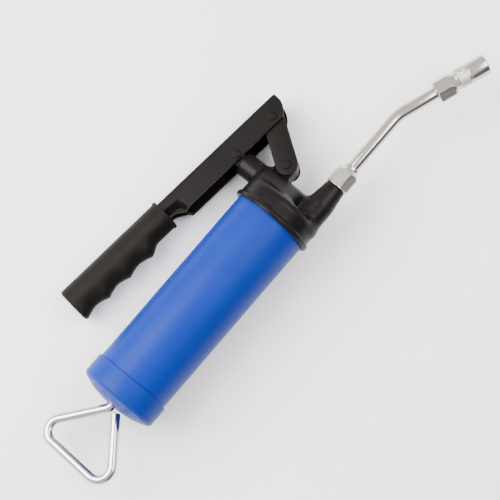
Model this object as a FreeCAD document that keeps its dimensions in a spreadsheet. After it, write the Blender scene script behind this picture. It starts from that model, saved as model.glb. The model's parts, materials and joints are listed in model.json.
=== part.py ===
"""Lever-action grease gun, lying on its side.

Each piece is designed in the gun's own frame and then laid down. X runs along the barrel's axis and is
zero where the tube meets the head, with the spout ahead of it and the barrel behind. Y points from the
axis towards the lever, and Z out of the lever's plane.
"""
import FreeCAD, Part
import math
import os
import Sketcher
from FreeCAD import Placement, Rotation, Vector

SIZES = {
    # barrel and end cap; the cap is placed from its seam, which lies barrel_exposed behind the head
    "tube_diameter": 60, "tube_wall": 1.5, "barrel_exposed": 156, "tube_in_head": 11, "tube_in_cap": 14,
    "cap_shell": 1.5, "cap_skirt": 17.3, "cap_corner": 3, "cap_lip": 0.5, "cap_wall": 2.6, "cap_web": 2,
    "cap_seat": 2, "dome_height": 6.2, "dome_knee": 3.41, "dome_radius": 73, "rod_hole_radius": 3.8,
    # play: screwed and sliding fits, moving pins, and how far a cutting tool runs past a face
    "thread_play": 0.03, "pivot_play": 0.05, "cut_margin": 1, "join_depth": 1,
    # head casting
    "rim_shell": 3.6, "rim_length": 6, "skirt_shell": 1.5, "head_height": 34.5, "shoulder_radius": 14,
    "cast_round": 1.5, "gasket_thickness": 1.5, "gasket_width": 3, "head_gap": 0.2,
    "pump_setback": 1.2, "pump_radius": 9.3, "pump_top": 46, "pump_bore": 4.05, "pump_floor": -23,
    "pump_floor_wall": 3, "packing_radius": 6.5, "packing_floor": 37.5, "packing_top": 41.5,
    "lug_half": 6.8, "lug_corner": 8, "lug_reach": 50, "lug_top": 30.5, "lug_bottom": 4,
    "lug_top_fall": 2, "lug_bottom_rise": 3, "relief_depth": 3.4, "relief_play": 0.7,
    # spout boss and check valve
    "boss_across": -21, "boss_root_radius": 10.2, "boss_end_radius": 8, "boss_end": 51.6,
    "valve_seat": 35, "seat_radius": 2, "valve_radius": 3.5, "socket_floor": 45, "ball_radius": 2.75,
    "valve_wire": 0.6, "valve_coil": 2.3, "valve_turns": 3, "valve_spring_seat": 2.2,
    # spout pipe, washer and nut
    "pipe_diameter": 8, "pipe_bore": 3.6, "pipe_bend_along": 123.5, "pipe_end_along": 160,
    "pipe_angle": 19.5, "pipe_bend_radius": 30, "washer_radius": 8.9, "washer_thickness": 1,
    "washer_round": 0.3, "nut_flats": 16, "nut_length": 15.2, "nut_crown": 1.6, "nut_crown_inset": 0.8,
    "nut_collar_radius": 5.5, "nut_collar": 3.4, "nut_collar_round": 0.8,
    # coupler
    "coupler_along": 155, "coupler_flats": 15.5, "hex_length": 12.5, "hex_crown": 2.4,
    "knurl_radius": 7.2, "knurl_length": 13.5, "knurl_depth": 0.4, "neck_length": 0.8, "neck_depth": 0.8,
    "spigot_length": 4, "well_depth": 6, "well_wall": 0.6, "nipple_passage": 1.2,
    "sleeve_radius": 7.5, "sleeve_length": 15.5, "sleeve_round": 1.4, "edge_break": 0.4,
    "sleeve_seat": 5.8, "chamber_radius": 6.2, "mouth_radius": 4.3, "mouth_taper": 3, "mouth_land": 0.8,
    "jaw_radius": 5.85, "jaw_bore": 3.4, "jaw_length": 6.8, "jaw_nose": 2, "jaw_nose_radius": 4.2,
    "jaw_setback": 1.4, "jaw_slit": 0.6, "jaw_root": 2, "seal_length": 4, "seal_radius": 4.8,
    "coupler_wire": 0.8, "coupler_coil": 4.6, "coupler_turns": 4,
    # lever linkage
    "link_pivot_x": 40.6, "link_pivot_y": 16.8, "lever_pivot_x": 62.3, "lever_pivot_y": 49.7,
    "plunger_pivot_y": 51.4, "lever_tilt": -5.66, "channel_width": 24, "channel_wall": 2,
    "channel_top": 11.3, "channel_bottom": -7, "channel_tip": 13.3, "tip_corner": 2.5, "tip_foot": 5.5,
    "tip_foot_round": 1.5, "tip_belly": 2.26, "tip_belly_radius": 11, "channel_back": -97.5,
    "channel_back_round": 3, "neck_bottom": 1, "neck_back": -107, "tang_width": 14, "tang_height": 9,
    "tang_start": 12, "tang_overlap": 6, "link_width": 16.6, "link_inner": 7.15, "link_thick": 2.5,
    "pivot_pin": 2.5, "rivet_radius": 4, "rivet_height": 1.6, "rivet_round": 1.3, "rivet_play": 0.1,
    # plunger
    "plunger_radius": 4, "plunger_foot": -6, "plunger_edge": 0.5, "eye_width": 10, "eye_half": 3.5,
    "eye_radius": 5.4, "eye_root": 3, "slot_long": 0.35, "slot_side": 0.45,
    # grip
    "grip_x": -140.5, "grip_y": 74, "grip_tilt": -4.3, "grip_length": 96.5, "grip_radius": 12,
    "collar_radius": 13.2, "collar_length": 3, "collar_round": 0.8, "finger_pitch": 22.2,
    "finger_depth": 2.5, "finger_radius": 26, "first_finger": 10.5, "end_round": 4,
    # pull rod and handle; the bend and the handle are placed from the cap's seam
    "rod_diameter": 6.35, "rod_front": 1, "rod_bend": -25.5, "rod_bend_radius": 8,
    "handle_left_x": -71.2, "handle_left_y": 36.6, "handle_right_x": -74.1, "handle_right_y": -44,
    "handle_corner": 10, "handle_tip_x": -27.5, "handle_tip_y": -7.4,
    # follower
    "plate_x": -12, "plate_inset": 4.2, "plate_thickness": 1.5, "washer_share": 0.6, "cup_web": 3,
    "cup_length": 11, "cup_play": 0.3, "cup_lip": 2.2, "cup_lip_edge": 1.32, "cup_shoulder": 2,
    "cup_shoulder_inset": 0.4, "cup_heel_inset": 1.5, "follower_nut_flats": 10,
    "follower_nut_length": 5, "spring_wire": 2.4, "spring_coil": 18, "spring_turns": 13,
    "spring_gap": 0.6,
}

doc = FreeCAD.newDocument("grease_gun")
sheet = doc.addObject("Spreadsheet::Sheet", "sizes")
for row, (alias, number) in enumerate(SIZES.items(), start=1):
    sheet.set(f"A{row}", alias.replace("_", " "))
    sheet.set(f"B{row}", str(number))
    sheet.setAlias(f"B{row}", alias)
doc.recompute()

TINY = 1e-7
NEAR = 0.01
NODES = []

# radii and a place that follow the tube and the pump cylinder
CAP_RADIUS = "(tube_diameter / 2 + cap_shell)"
SKIRT_RADIUS = "(tube_diameter / 2 + skirt_shell)"
RIM_RADIUS = "(tube_diameter / 2 + rim_shell)"
CUP_RADIUS = "(tube_diameter / 2 - tube_wall - cup_play)"
PLATE_RADIUS = f"({CUP_RADIUS} - plate_inset)"
PUMP_ALONG = "(tube_in_head + gasket_thickness + pump_setback + pump_radius)"


def size(formula):
    """The value of a formula written with the sheet's aliases."""
    value = sheet.evalExpression(in_sheet(formula))
    return float(getattr(value, "Value", value))


def in_sheet(formula):
    """The formula with each alias pointing at its cell."""
    words = []
    word = ""
    for letter in str(formula) + " ":
        if letter.isalnum() or letter == "_":
            word += letter
            continue
        words.append(f"sizes.{word}" if word in SIZES else word)
        words.append(letter)
        word = ""
    return "".join(words).strip()


# The gun rests on the head's rim and on the end of its grip.
grip_drop = size(f"({RIM_RADIUS} - grip_radius) / (grip_y + end_round * sin(grip_tilt))")
ROLL = math.degrees(math.asin(grip_drop))
LYING = Placement(Vector(0, 0, size(RIM_RADIUS)), Rotation(Vector(1, 0, 0), -ROLL))


def lay_down(piece, x=0.0, y=0.0, z=0.0, turn=None):
    """Put a piece in its place on the gun, and the gun on its side."""
    own = Placement(Vector(x, y, z), turn or Rotation())
    piece.Placement = LYING.multiply(own)
    NODES.append(piece)


def body_named(label):
    """A new PartDesign body."""
    body = doc.addObject("PartDesign::Body", label)
    body.Label = label
    return body


def origin_part(body, role):
    """One of a body's origin planes or axes."""
    return [part for part in body.Origin.OriginFeatures if part.Role == role][0]


def new_sketch(body, name, plane="XY_Plane", lift=None):
    """An empty sketch on an origin plane, lifted off it along its normal if asked."""
    sketch = body.newObject("Sketcher::SketchObject", name)
    sketch.AttachmentSupport = [(origin_part(body, plane), "")]
    sketch.MapMode = "FlatFace"
    if lift is not None:
        sketch.setExpression("AttachmentOffset.Base.z", in_sheet(lift))
    return sketch


def add_rules(sketch, rules):
    """Add constraints together, then drive each one that has a formula from the sheet."""
    first = sketch.ConstraintCount
    sketch.addConstraint([rule for rule, formula in rules])
    for index, (rule, formula) in enumerate(rules, start=first):
        if formula is not None:
            sketch.setExpression(f"Constraints[{index}]", in_sheet(formula))


def at_place(geometry, end, x_formula, y_formula):
    """Rules that hold a point of a sketch at a place."""
    across = Sketcher.Constraint("DistanceX", -1, 1, geometry, end, size(x_formula))
    up = Sketcher.Constraint("DistanceY", -1, 1, geometry, end, size(y_formula))
    return [(across, x_formula), (up, y_formula)]


def circle(sketch, radius, x="0", y="0"):
    """A circle with its centre and radius driven by the sheet."""
    centre = Vector(size(x), size(y), 0)
    ring = sketch.addGeometry(Part.Circle(centre, Vector(0, 0, 1), size(radius)))
    limit = (Sketcher.Constraint("Radius", ring, size(radius)), radius)
    add_rules(sketch, at_place(ring, 3, x, y) + [limit])


def corner_arc(before, corner, after, radius):
    """The arc that rounds a corner: its two touching points, its shape and whether it turns left."""
    back = (before - corner).normalize()
    ahead = (after - corner).normalize()
    half = back.getAngle(ahead) / 2
    first = corner + back * (radius / math.tan(half))
    last = corner + ahead * (radius / math.tan(half))
    centre = corner + (back + ahead).normalize() * (radius / math.sin(half))
    turns_left = (corner - before).cross(after - corner).z > 0
    begin, end = (first, last) if turns_left else (last, first)
    full = Part.Circle(centre, Vector(0, 0, 1), radius)
    shape = Part.ArcOfCircle(full, full.parameter(begin), full.parameter(end))
    return first, last, shape, turns_left


def outline(sketch, corners, closed=True):
    """Straight lines through corners (x, y) or (x, y, radius), rounded where a radius is given."""
    places = [Vector(size(corner[0]), size(corner[1]), 0) for corner in corners]
    count = len(corners)
    starts = {}
    ends = {}
    arcs = {}
    for index, corner in enumerate(corners):
        place = places[index]
        starts[index] = ends[index] = place
        if len(corner) > 2:
            arcs[index] = corner_arc(places[index - 1], place, places[(index + 1) % count], size(corner[2]))
            ends[index], starts[index] = arcs[index][0], arcs[index][1]
    lines = {}
    for index in range(count if closed else count - 1):
        following = (index + 1) % count
        lines[index] = sketch.addGeometry(Part.LineSegment(starts[index], ends[following]))
    rules = []
    for index, corner in enumerate(corners):
        has_before = closed or index > 0
        has_after = closed or index < count - 1
        before = lines[(index - 1) % count] if has_before else None
        after = lines[index] if has_after else None
        if index in arcs:
            rules += rounded(sketch, before, after, arcs[index], corner)
        elif has_after:
            if has_before:
                rules.append((Sketcher.Constraint("Coincident", before, 2, after, 1), None))
            rules += at_place(after, 1, corner[0], corner[1])
        else:
            rules += at_place(before, 2, corner[0], corner[1])
    add_rules(sketch, rules)
    return sketch


def rounded(sketch, before, after, arc_parts, corner):
    """An arc between two lines, whose sharp corner is a construction point, and the rules that hold it."""
    shape, turns_left = arc_parts[2:]
    arc = sketch.addGeometry(shape)
    near, far = (1, 2) if turns_left else (2, 1)
    point = sketch.addGeometry(Part.Point(Vector(size(corner[0]), size(corner[1]), 0)), True)
    limit = Sketcher.Constraint("Radius", arc, size(corner[2]))
    return at_place(point, 1, corner[0], corner[1]) + [
        (Sketcher.Constraint("Tangent", before, 2, arc, near), None),
        (Sketcher.Constraint("Tangent", arc, far, after, 1), None),
        (Sketcher.Constraint("PointOnObject", point, 1, before), None),
        (Sketcher.Constraint("PointOnObject", point, 1, after), None),
        (limit, corner[2])]


def revolve(body, corners, axis="H_Axis", name="Profile"):
    """A full turn of an outline about the sketch's own axis."""
    sketch = outline(new_sketch(body, name + "Sketch"), corners)
    turned = body.newObject("PartDesign::Revolution", name)
    turned.Profile = sketch
    turned.ReferenceAxis = (sketch, [axis])
    turned.Angle = 360
    return turned


def groove(body, corners, axis="H_Axis", name="Bore"):
    """A full-turn cut; the volume must drop."""
    doc.recompute()
    before = body.Shape.Volume
    sketch = outline(new_sketch(body, name + "Sketch"), corners)
    cut = body.newObject("PartDesign::Groove", name)
    cut.Profile = sketch
    cut.ReferenceAxis = (sketch, [axis])
    cut.Angle = 360
    doc.recompute()
    must_shrink(body, before, name)
    return cut


def must_shrink(body, before, name):
    """Stop if a cut removed nothing."""
    if body.Shape.Volume > before - TINY:
        states = [(item.Name, item.State) for item in body.Group]
        raise ValueError(f"{body.Label}: {name} cut nothing: {states}")


def pad(body, sketch, length, name="Pad", both_ways=True):
    """A pad of a sketch, half to each side if both_ways."""
    block = body.newObject("PartDesign::Pad", name)
    block.Profile = sketch
    block.setExpression("Length", in_sheet(length))
    block.Midplane = both_ways
    return block


def pocket(body, sketch, depth, name="Pocket", both_ways=True, reverse=False):
    """A pocket of a sketch; the volume must drop."""
    doc.recompute()
    before = body.Shape.Volume
    cut = body.newObject("PartDesign::Pocket", name)
    cut.Profile = sketch
    cut.setExpression("Length", in_sheet(depth))
    cut.Midplane = both_ways
    cut.Reversed = reverse
    doc.recompute()
    must_shrink(body, before, name)
    return cut


def round_edges(body, radius, wanted, name="Round"):
    """A fillet on every edge that the test accepts."""
    doc.recompute()
    base = body.Tip
    edges = [f"Edge{i}" for i, edge in enumerate(base.Shape.Edges, start=1) if wanted(edge)]
    if not edges:
        raise ValueError(f"{body.Label}: {name} found no edge")
    fillet = body.newObject("PartDesign::Fillet", name)
    fillet.Base = (base, edges)
    fillet.setExpression("Radius", in_sheet(radius))
    return fillet


def is_ring(edge, radius, along):
    """True for a full circle about the X axis with this radius and place."""
    curve = edge.Curve
    if not isinstance(curve, Part.Circle):
        return False
    same_radius = abs(curve.Radius - size(radius)) < NEAR
    return same_radius and abs(curve.Center.x - size(along)) < NEAR


def regular_hexagon(sketch, flats):
    """A hexagon of the given width across flats, centred on the sketch's origin."""
    reach = f"({flats}) / 2"
    half_side = f"({flats}) / 2 * tan(30)"
    corner_reach = f"({flats}) / 2 / cos(30)"
    outline(sketch, [
        (corner_reach, "0"), (half_side, reach), (f"-{half_side}", reach),
        (f"-{corner_reach}", "0"), (f"-{half_side}", f"-{reach}"), (half_side, f"-{reach}")])
    return sketch


# ---------------------------------------------------------------- barrel and end cap

def make_barrel():
    """The rolled tube, screwed into the cap at one end and the head at the other."""
    body = body_named("barrel")
    back = "-barrel_exposed - tube_in_cap"
    front = "tube_in_head"
    inner = "tube_diameter / 2 - tube_wall"
    revolve(body, [
        (back, inner), (front, inner), (front, "tube_diameter / 2"), (back, "tube_diameter / 2")],
        name="Tube")
    lay_down(body)


def make_end_cap():
    """A pressed cap with a rounded skirt, a shallow dome and a hole for the rod."""
    body = body_named("end_cap")
    seam = "-barrel_exposed"
    back = "-barrel_exposed - cap_skirt"
    inner = "tube_diameter / 2 + thread_play"
    revolve(body, [
        (seam, inner), (seam, CAP_RADIUS, "cap_lip"), (back, CAP_RADIUS, "cap_corner"),
        (f"{back} - dome_knee", f"{CAP_RADIUS} / 2", "dome_radius"),
        (f"{back} - dome_height", "rod_hole_radius"),
        (f"{back} - dome_height + cap_web", "rod_hole_radius"),
        (f"{back} + cap_wall", "tube_diameter / 2 - cap_seat"), (f"{back} + cap_wall", inner)], name="Cap")
    lay_down(body)


def make_head():
    """The casting: skirt and shoulder, pump cylinder across it, spout boss, lug and all bores."""
    body = body_named("head")
    start = "head_gap"
    roof = "(tube_in_head + gasket_thickness)"
    top = "head_height"
    revolve(body, [
        (start, "tube_diameter / 2 + thread_play"), (start, RIM_RADIUS, "cast_round"),
        (f"{start} + rim_length", RIM_RADIUS, "cast_round"), (f"{start} + rim_length", SKIRT_RADIUS),
        (top, SKIRT_RADIUS, "shoulder_radius"), (top, "0"), (roof, "0"),
        (roof, "tube_diameter / 2 + thread_play")], name="Skirt")
    pump = new_sketch(body, "PumpSketch", "XZ_Plane", "-pump_top")
    circle(pump, "pump_radius", PUMP_ALONG)
    pad(body, pump, "pump_top - pump_floor", "PumpCylinder", both_ways=False)
    round_edges(body, "cast_round", is_pump_end, "PumpRound")
    lug = new_sketch(body, "LugSketch")
    outline(lug, [
        (roof, "lug_bottom"), (roof, "lug_top"), ("lug_reach", "lug_top - lug_top_fall", "lug_corner"),
        ("lug_reach", "lug_bottom + lug_bottom_rise", "lug_corner")])
    pad(body, lug, "2 * lug_half", "Lug")
    boss = new_sketch(body, "BossSketch", "YZ_Plane", roof)
    circle(boss, "boss_root_radius", "boss_across")
    boss_end = new_sketch(body, "BossEndSketch", "YZ_Plane", "boss_end")
    circle(boss_end, "boss_end_radius", "boss_across")
    loft = body.newObject("PartDesign::AdditiveLoft", "Boss")
    loft.Profile = boss
    loft.Sections = [boss_end]
    round_edges(body, "cast_round", lambda edge: is_ring(edge, "boss_end_radius", "boss_end"), "BossRound")
    bore = new_sketch(body, "PumpBoreSketch", "XZ_Plane", "-pump_top")
    circle(bore, "pump_bore", PUMP_ALONG)
    pocket(body, bore, "pump_top - pump_floor - pump_floor_wall", "PumpBore", both_ways=False, reverse=True)
    packing = new_sketch(body, "PackingSketch", "XZ_Plane", "-pump_top")
    circle(packing, "packing_radius", PUMP_ALONG)
    pocket(body, packing, "pump_top - packing_floor", "PackingBore", both_ways=False, reverse=True)
    drill_along(body, "InletBore", roof, f"{PUMP_ALONG} - {roof}", "seat_radius", "0")
    drill_along(body, "OutletBore", PUMP_ALONG, f"boss_end - {PUMP_ALONG}", "seat_radius", "boss_across")
    drill_along(body, "ValveBore", "valve_seat", "boss_end - valve_seat", "valve_radius", "boss_across")
    drill_along(body, "SpoutSocket", "socket_floor", "boss_end - socket_floor",
                "pipe_diameter / 2 + thread_play", "boss_across")
    eye = new_sketch(body, "LugEyeSketch")
    circle(eye, "pivot_pin", "link_pivot_x", "link_pivot_y")
    pocket(body, eye, "2 * lug_half + cut_margin", "LugEye")
    for side, level in (("Near", "lug_half"), ("Far", "-lug_half - relief_depth")):
        relief = new_sketch(body, side + "ReliefSketch", "XY_Plane", level)
        circle(relief, "link_width / 2 + relief_play", "link_pivot_x", "link_pivot_y")
        pocket(body, relief, "relief_depth", side + "Relief", both_ways=False, reverse=True)
    lay_down(body)


def is_pump_end(edge):
    """True for the circle round the top of the pump cylinder."""
    curve = edge.Curve
    if not isinstance(curve, Part.Circle):
        return False
    return abs(curve.Center.y - size("pump_top")) < NEAR and abs(curve.Radius - size("pump_radius")) < NEAR


def drill_along(body, name, start, length, radius, across):
    """A hole parallel to the barrel, drilled forwards from a given place."""
    sketch = new_sketch(body, name + "Sketch", "YZ_Plane", start)
    circle(sketch, radius, across)
    pocket(body, sketch, length, name, both_ways=False, reverse=True)


def ring_piece(label, start, length, inner, outer, edge_round=None):
    """A ring about the X axis, for washers, seals and plates."""
    body = body_named(label)
    end = f"{start} + {length}"
    revolve(body, [(start, inner), (end, inner), (end, outer), (start, outer)], name="Ring")
    if edge_round:
        round_edges(body, edge_round, lambda edge: is_ring(edge, outer, start) or is_ring(edge, outer, end))
    return body


def make_seals():
    """The head gasket, squeezed by the tube's end, and the plunger's packing ring."""
    lay_down(ring_piece("head_gasket", "tube_in_head", "gasket_thickness",
                        "tube_diameter / 2 - gasket_width", "tube_diameter / 2"))
    packing = body_named("plunger_packing")
    revolve(packing, [
        ("plunger_radius + pivot_play", "packing_floor"), ("packing_radius", "packing_floor"),
        ("packing_radius", "packing_top"), ("plunger_radius + pivot_play", "packing_top")],
        axis="V_Axis", name="Packing")
    lay_down(packing, x=size(PUMP_ALONG))


# ---------------------------------------------------------------- spout and coupler

def make_check_valve():
    """A steel ball on a short spring that keeps grease from running back."""
    ball = doc.addObject("Part::Sphere", "check_ball")
    ball.Label = "check_ball"
    ball.setExpression("Radius", in_sheet("ball_radius"))
    rise = math.sqrt(size("ball_radius") ** 2 - size("seat_radius") ** 2)
    lay_down(ball, x=size("valve_seat") + rise + size("thread_play"), y=size("boss_across"))
    seat = size("valve_seat + valve_spring_seat") + rise
    coil_piece("check_spring", "valve_wire", "valve_coil", seat, size("socket_floor"), size("valve_turns"),
               y=size("boss_across"))


def coil_piece(label, wire, coil, start, end, turns, y=0.0, turn=None, x=0.0):
    """A round-wire compression spring, wound up its own Z axis and laid along the X axis."""
    body = body_named(label)
    section = new_sketch(body, "WireSketch", "XZ_Plane")
    circle(section, f"{wire} / 2", coil)
    length = end - start - size(wire)
    helix = body.newObject("PartDesign::AdditiveHelix", "Coils")
    helix.Profile = section
    helix.ReferenceAxis = (section, ["V_Axis"])
    helix.Mode = "height-turns-angle"
    helix.Height = length
    helix.Turns = turns
    upright = Rotation(Vector(0, 1, 0), 90)
    facing = turn.multiply(upright) if turn else upright
    offset = Vector(start + size(wire) / 2, 0, 0)
    moved = turn.multVec(offset) if turn else offset
    lay_down(body, x=x + moved.x, y=y + moved.y, turn=facing)


def make_spout():
    """The sealing washer, gland nut and bent pipe."""
    washer = ring_piece("spout_washer", "0", "washer_thickness", "pipe_diameter / 2 + thread_play",
                        "washer_radius", "washer_round")
    lay_down(washer, x=size("boss_end"), y=size("boss_across"))
    nut = body_named("spout_nut")
    pad(nut, regular_hexagon(new_sketch(nut, "HexSketch", "YZ_Plane"), "nut_flats"), "nut_length",
        "Hex", both_ways=False)
    crown_turn(nut, "nut_flats", "nut_length", "nut_crown", "nut_flats / 2 - nut_crown_inset")
    hole_radius = "pipe_diameter / 2 + thread_play"
    revolve(nut, [
        ("nut_length - join_depth", hole_radius), ("nut_length + nut_collar", hole_radius),
        ("nut_length + nut_collar", "nut_collar_radius", "nut_collar_round"),
        ("nut_length - join_depth", "nut_collar_radius")], name="Collar")
    hole = new_sketch(nut, "HoleSketch", "YZ_Plane")
    circle(hole, hole_radius)
    pocket(nut, hole, "nut_length + nut_collar + cut_margin", "Hole", both_ways=False, reverse=True)
    lay_down(nut, x=size("boss_end + washer_thickness"), y=size("boss_across"))
    pipe = body_named("spout_pipe")
    fall = "(pipe_end_along - pipe_bend_along) * tan(pipe_angle)"
    path = outline(new_sketch(pipe, "PathSketch"), [
        ("socket_floor", "boss_across"), ("pipe_bend_along", "boss_across", "pipe_bend_radius"),
        ("pipe_end_along", f"boss_across - {fall}")], closed=False)
    ring = new_sketch(pipe, "RingSketch", "YZ_Plane", "socket_floor")
    circle(ring, "pipe_diameter / 2", "boss_across")
    circle(ring, "pipe_bore / 2", "boss_across")
    sweep_along(pipe, ring, path, "Pipe")
    lay_down(pipe)


def crown_turn(body, flats, end, depth, end_radius):
    """Turn a hexagon's corners off in a cone that runs out at its front end."""
    groove(body, [
        (f"{end} - {depth}", f"{flats} / 2 / cos(30) + {NEAR}"), (end, end_radius),
        (f"{end} + cut_margin", end_radius), (f"{end} + cut_margin", flats)], name="Crown")


def sweep_along(body, section, path, name):
    """A section carried along a flat path."""
    doc.recompute()
    pipe = body.newObject("PartDesign::AdditivePipe", name)
    pipe.Profile = section
    pipe.Spine = (path, [f"Edge{i + 1}" for i in range(len(path.Shape.Edges))])
    return pipe


def make_coupler():
    """The hydraulic coupler: hexagon, knurled body, sleeve, jaws, seal and spring."""
    turn = Rotation(Vector(0, 0, 1), -size("pipe_angle"))
    fall = size("(coupler_along - pipe_bend_along) * tan(pipe_angle)")
    place = {"x": size("coupler_along"), "y": size("boss_across") - fall, "turn": turn}
    body_end = "hex_length + knurl_length"
    body = body_named("coupler_body")
    pad(body, regular_hexagon(new_sketch(body, "HexSketch", "YZ_Plane"), "coupler_flats"), "hex_length",
        "Hex", both_ways=False)
    crown_turn(body, "coupler_flats", "hex_length", "hex_crown", "knurl_radius - knurl_depth")
    neck = "knurl_radius - neck_depth"
    revolve(body, [
        ("hex_length - join_depth", "nipple_passage"), (body_end, "nipple_passage"),
        (body_end, "knurl_radius", "edge_break"), ("hex_length + neck_length", "knurl_radius", "edge_break"),
        ("hex_length + neck_length", neck), ("hex_length - join_depth", neck)], name="Barrel")
    spigot_end = f"{body_end} + spigot_length"
    revolve(body, [
        (f"{body_end} - join_depth", "nipple_passage"), (spigot_end, "nipple_passage"),
        (spigot_end, "sleeve_seat"), (f"{body_end} - join_depth", "sleeve_seat")], name="Spigot")
    pipe_depth = "(pipe_end_along - coupler_along) / cos(pipe_angle)"
    bore_along_axis(body, "PipeSocket", "0", pipe_depth, "pipe_diameter / 2 + thread_play")
    bore_along_axis(body, "Passage", "0", spigot_end, "nipple_passage")
    bore_along_axis(body, "SpringWell", f"{body_end} - well_depth", "well_depth + spigot_length",
                    "sleeve_seat - well_wall")
    lay_down(body, **place)
    sleeve = body_named("coupler_sleeve")
    end = f"{body_end} + sleeve_length"
    revolve(sleeve, [
        (body_end, "sleeve_seat + thread_play"), (spigot_end, "sleeve_seat + thread_play"),
        (spigot_end, "chamber_radius"), (f"{end} - mouth_taper", "chamber_radius"),
        (f"{end} - mouth_land", "mouth_radius"), (end, "mouth_radius"),
        (end, "sleeve_radius", "sleeve_round"), (body_end, "sleeve_radius", "edge_break")], name="Sleeve")
    lay_down(sleeve, **place)
    jaws = body_named("coupler_jaws")
    tip = f"{end} - jaw_setback"
    front = f"{tip} - jaw_nose"
    back = f"{front} - jaw_length"
    revolve(jaws, [
        (back, "jaw_bore"), (tip, "jaw_bore"), (tip, "jaw_nose_radius"), (front, "jaw_radius"),
        (back, "jaw_radius")], name="Jaws")
    for plane in ("XY_Plane", "XZ_Plane"):
        slit = outline(new_sketch(jaws, f"Slit{plane[:2]}Sketch", plane), [
            (f"{back} + jaw_root", "-jaw_slit / 2"), (end, "-jaw_slit / 2"), (end, "jaw_slit / 2"),
            (f"{back} + jaw_root", "jaw_slit / 2")])
        pocket(jaws, slit, "2 * sleeve_radius", f"Slit{plane[:2]}")
    lay_down(jaws, **place)
    seal = body_named("coupler_seal")
    seal_back = f"{back} - seal_length"
    revolve(seal, [
        (seal_back, "nipple_passage"), (back, "nipple_passage"), (back, "seal_radius"),
        (seal_back, "seal_radius")], name="Seal")
    lay_down(seal, **place)
    well = size(f"{body_end} - well_depth")
    coil_piece("coupler_spring", "coupler_wire", "coupler_coil", well, size(seal_back),
               size("coupler_turns"), y=place["y"], turn=turn, x=place["x"])


def bore_along_axis(body, name, start, depth, radius):
    """A hole on the piece's own X axis."""
    sketch = new_sketch(body, name + "Sketch", "YZ_Plane", start)
    circle(sketch, radius)
    pocket(body, sketch, depth, name, both_ways=False, reverse=True)


# ---------------------------------------------------------------- lever, links and plunger

def lever_place():
    """Where the lever's own frame stands: its origin on the link pivot, X along its top edge."""
    turn = Rotation(Vector(0, 0, 1), size("lever_tilt"))
    return {"x": size("lever_pivot_x"), "y": size("lever_pivot_y"), "turn": turn}


def in_lever(x_formula, y_formula):
    """A point of the gun, in the lever's own frame, as two formulas."""
    across = f"({x_formula} - lever_pivot_x)"
    up = f"({y_formula} - lever_pivot_y)"
    along = f"{across} * cos(lever_tilt) + {up} * sin(lever_tilt)"
    above = f"{up} * cos(lever_tilt) - {across} * sin(lever_tilt)"
    return along, above


def on_grip(along, above):
    """A point of the grip's own frame, in the gun's frame, as two formulas."""
    x_formula = f"(grip_x + ({along}) * cos(grip_tilt) - ({above}) * sin(grip_tilt))"
    y_formula = f"(grip_y + ({along}) * sin(grip_tilt) + ({above}) * cos(grip_tilt))"
    return x_formula, y_formula


def make_lever():
    """The pressed channel, its shallower neck and the tang inside the grip."""
    body = body_named("lever")
    side = new_sketch(body, "SideSketch")
    outline(side, [
        ("neck_back", "channel_top"), ("channel_tip", "channel_top", "tip_corner"),
        ("channel_tip", "tip_belly", "tip_belly_radius"), ("tip_foot", "channel_bottom", "tip_foot_round"),
        ("channel_back", "channel_bottom", "channel_back_round"), ("channel_back", "neck_bottom"),
        ("neck_back", "neck_bottom")])
    pad(body, side, "channel_width", "Channel")
    inside = new_sketch(body, "InsideSketch")
    ceiling = "channel_top - channel_wall"
    below = "channel_bottom - cut_margin"
    outline(inside, [
        ("neck_back - cut_margin", ceiling), ("channel_tip + cut_margin", ceiling),
        ("channel_tip + cut_margin", below), ("neck_back - cut_margin", below)])
    pocket(body, inside, "channel_width - 2 * channel_wall", "Inside")
    tang = new_sketch(body, "TangSketch")
    top, bottom = "tang_height / 2", "-tang_height / 2"
    inner, outer = "tang_start", "grip_length + tang_overlap"
    outline(tang, [
        in_lever(*on_grip(inner, bottom)), in_lever(*on_grip(outer, bottom)),
        in_lever(*on_grip(outer, top)), in_lever(*on_grip(inner, top))])
    pad(body, tang, "tang_width", "Tang")
    holes = new_sketch(body, "PivotSketch")
    circle(holes, "pivot_pin")
    circle(holes, "pivot_pin", *in_lever(PUMP_ALONG, "plunger_pivot_y"))
    pocket(body, holes, "channel_width + cut_margin", "PivotHoles")
    lay_down(body, **lever_place())


def make_grip():
    """The moulded grip: a round bar with a collar, finger hollows and a slot for the tang."""
    body = body_named("lever_grip")
    revolve(body, [
        ("0", "0"), ("0", "grip_radius", "end_round"), ("grip_length - collar_length", "grip_radius"),
        ("grip_length - collar_length", "collar_radius", "collar_round"),
        ("grip_length", "collar_radius", "collar_round"), ("grip_length", "0")], name="Bar")
    for finger in range(3):
        hollow = new_sketch(body, f"Finger{finger}Sketch")
        circle(hollow, "finger_radius", f"first_finger + {finger} * finger_pitch",
               "finger_depth - grip_radius - finger_radius")
        pocket(body, hollow, "2 * collar_radius", f"Finger{finger}")
    slot = new_sketch(body, "TangSlotSketch")
    outline(slot, [
        ("tang_start", "-tang_height / 2"), ("grip_length + cut_margin", "-tang_height / 2"),
        ("grip_length + cut_margin", "tang_height / 2"), ("tang_start", "tang_height / 2")])
    pocket(body, slot, "tang_width", "TangSlot")
    lean = Rotation(Vector(0, 0, 1), size("grip_tilt"))
    lay_down(body, x=size("grip_x"), y=size("grip_y"), turn=lean)


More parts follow.
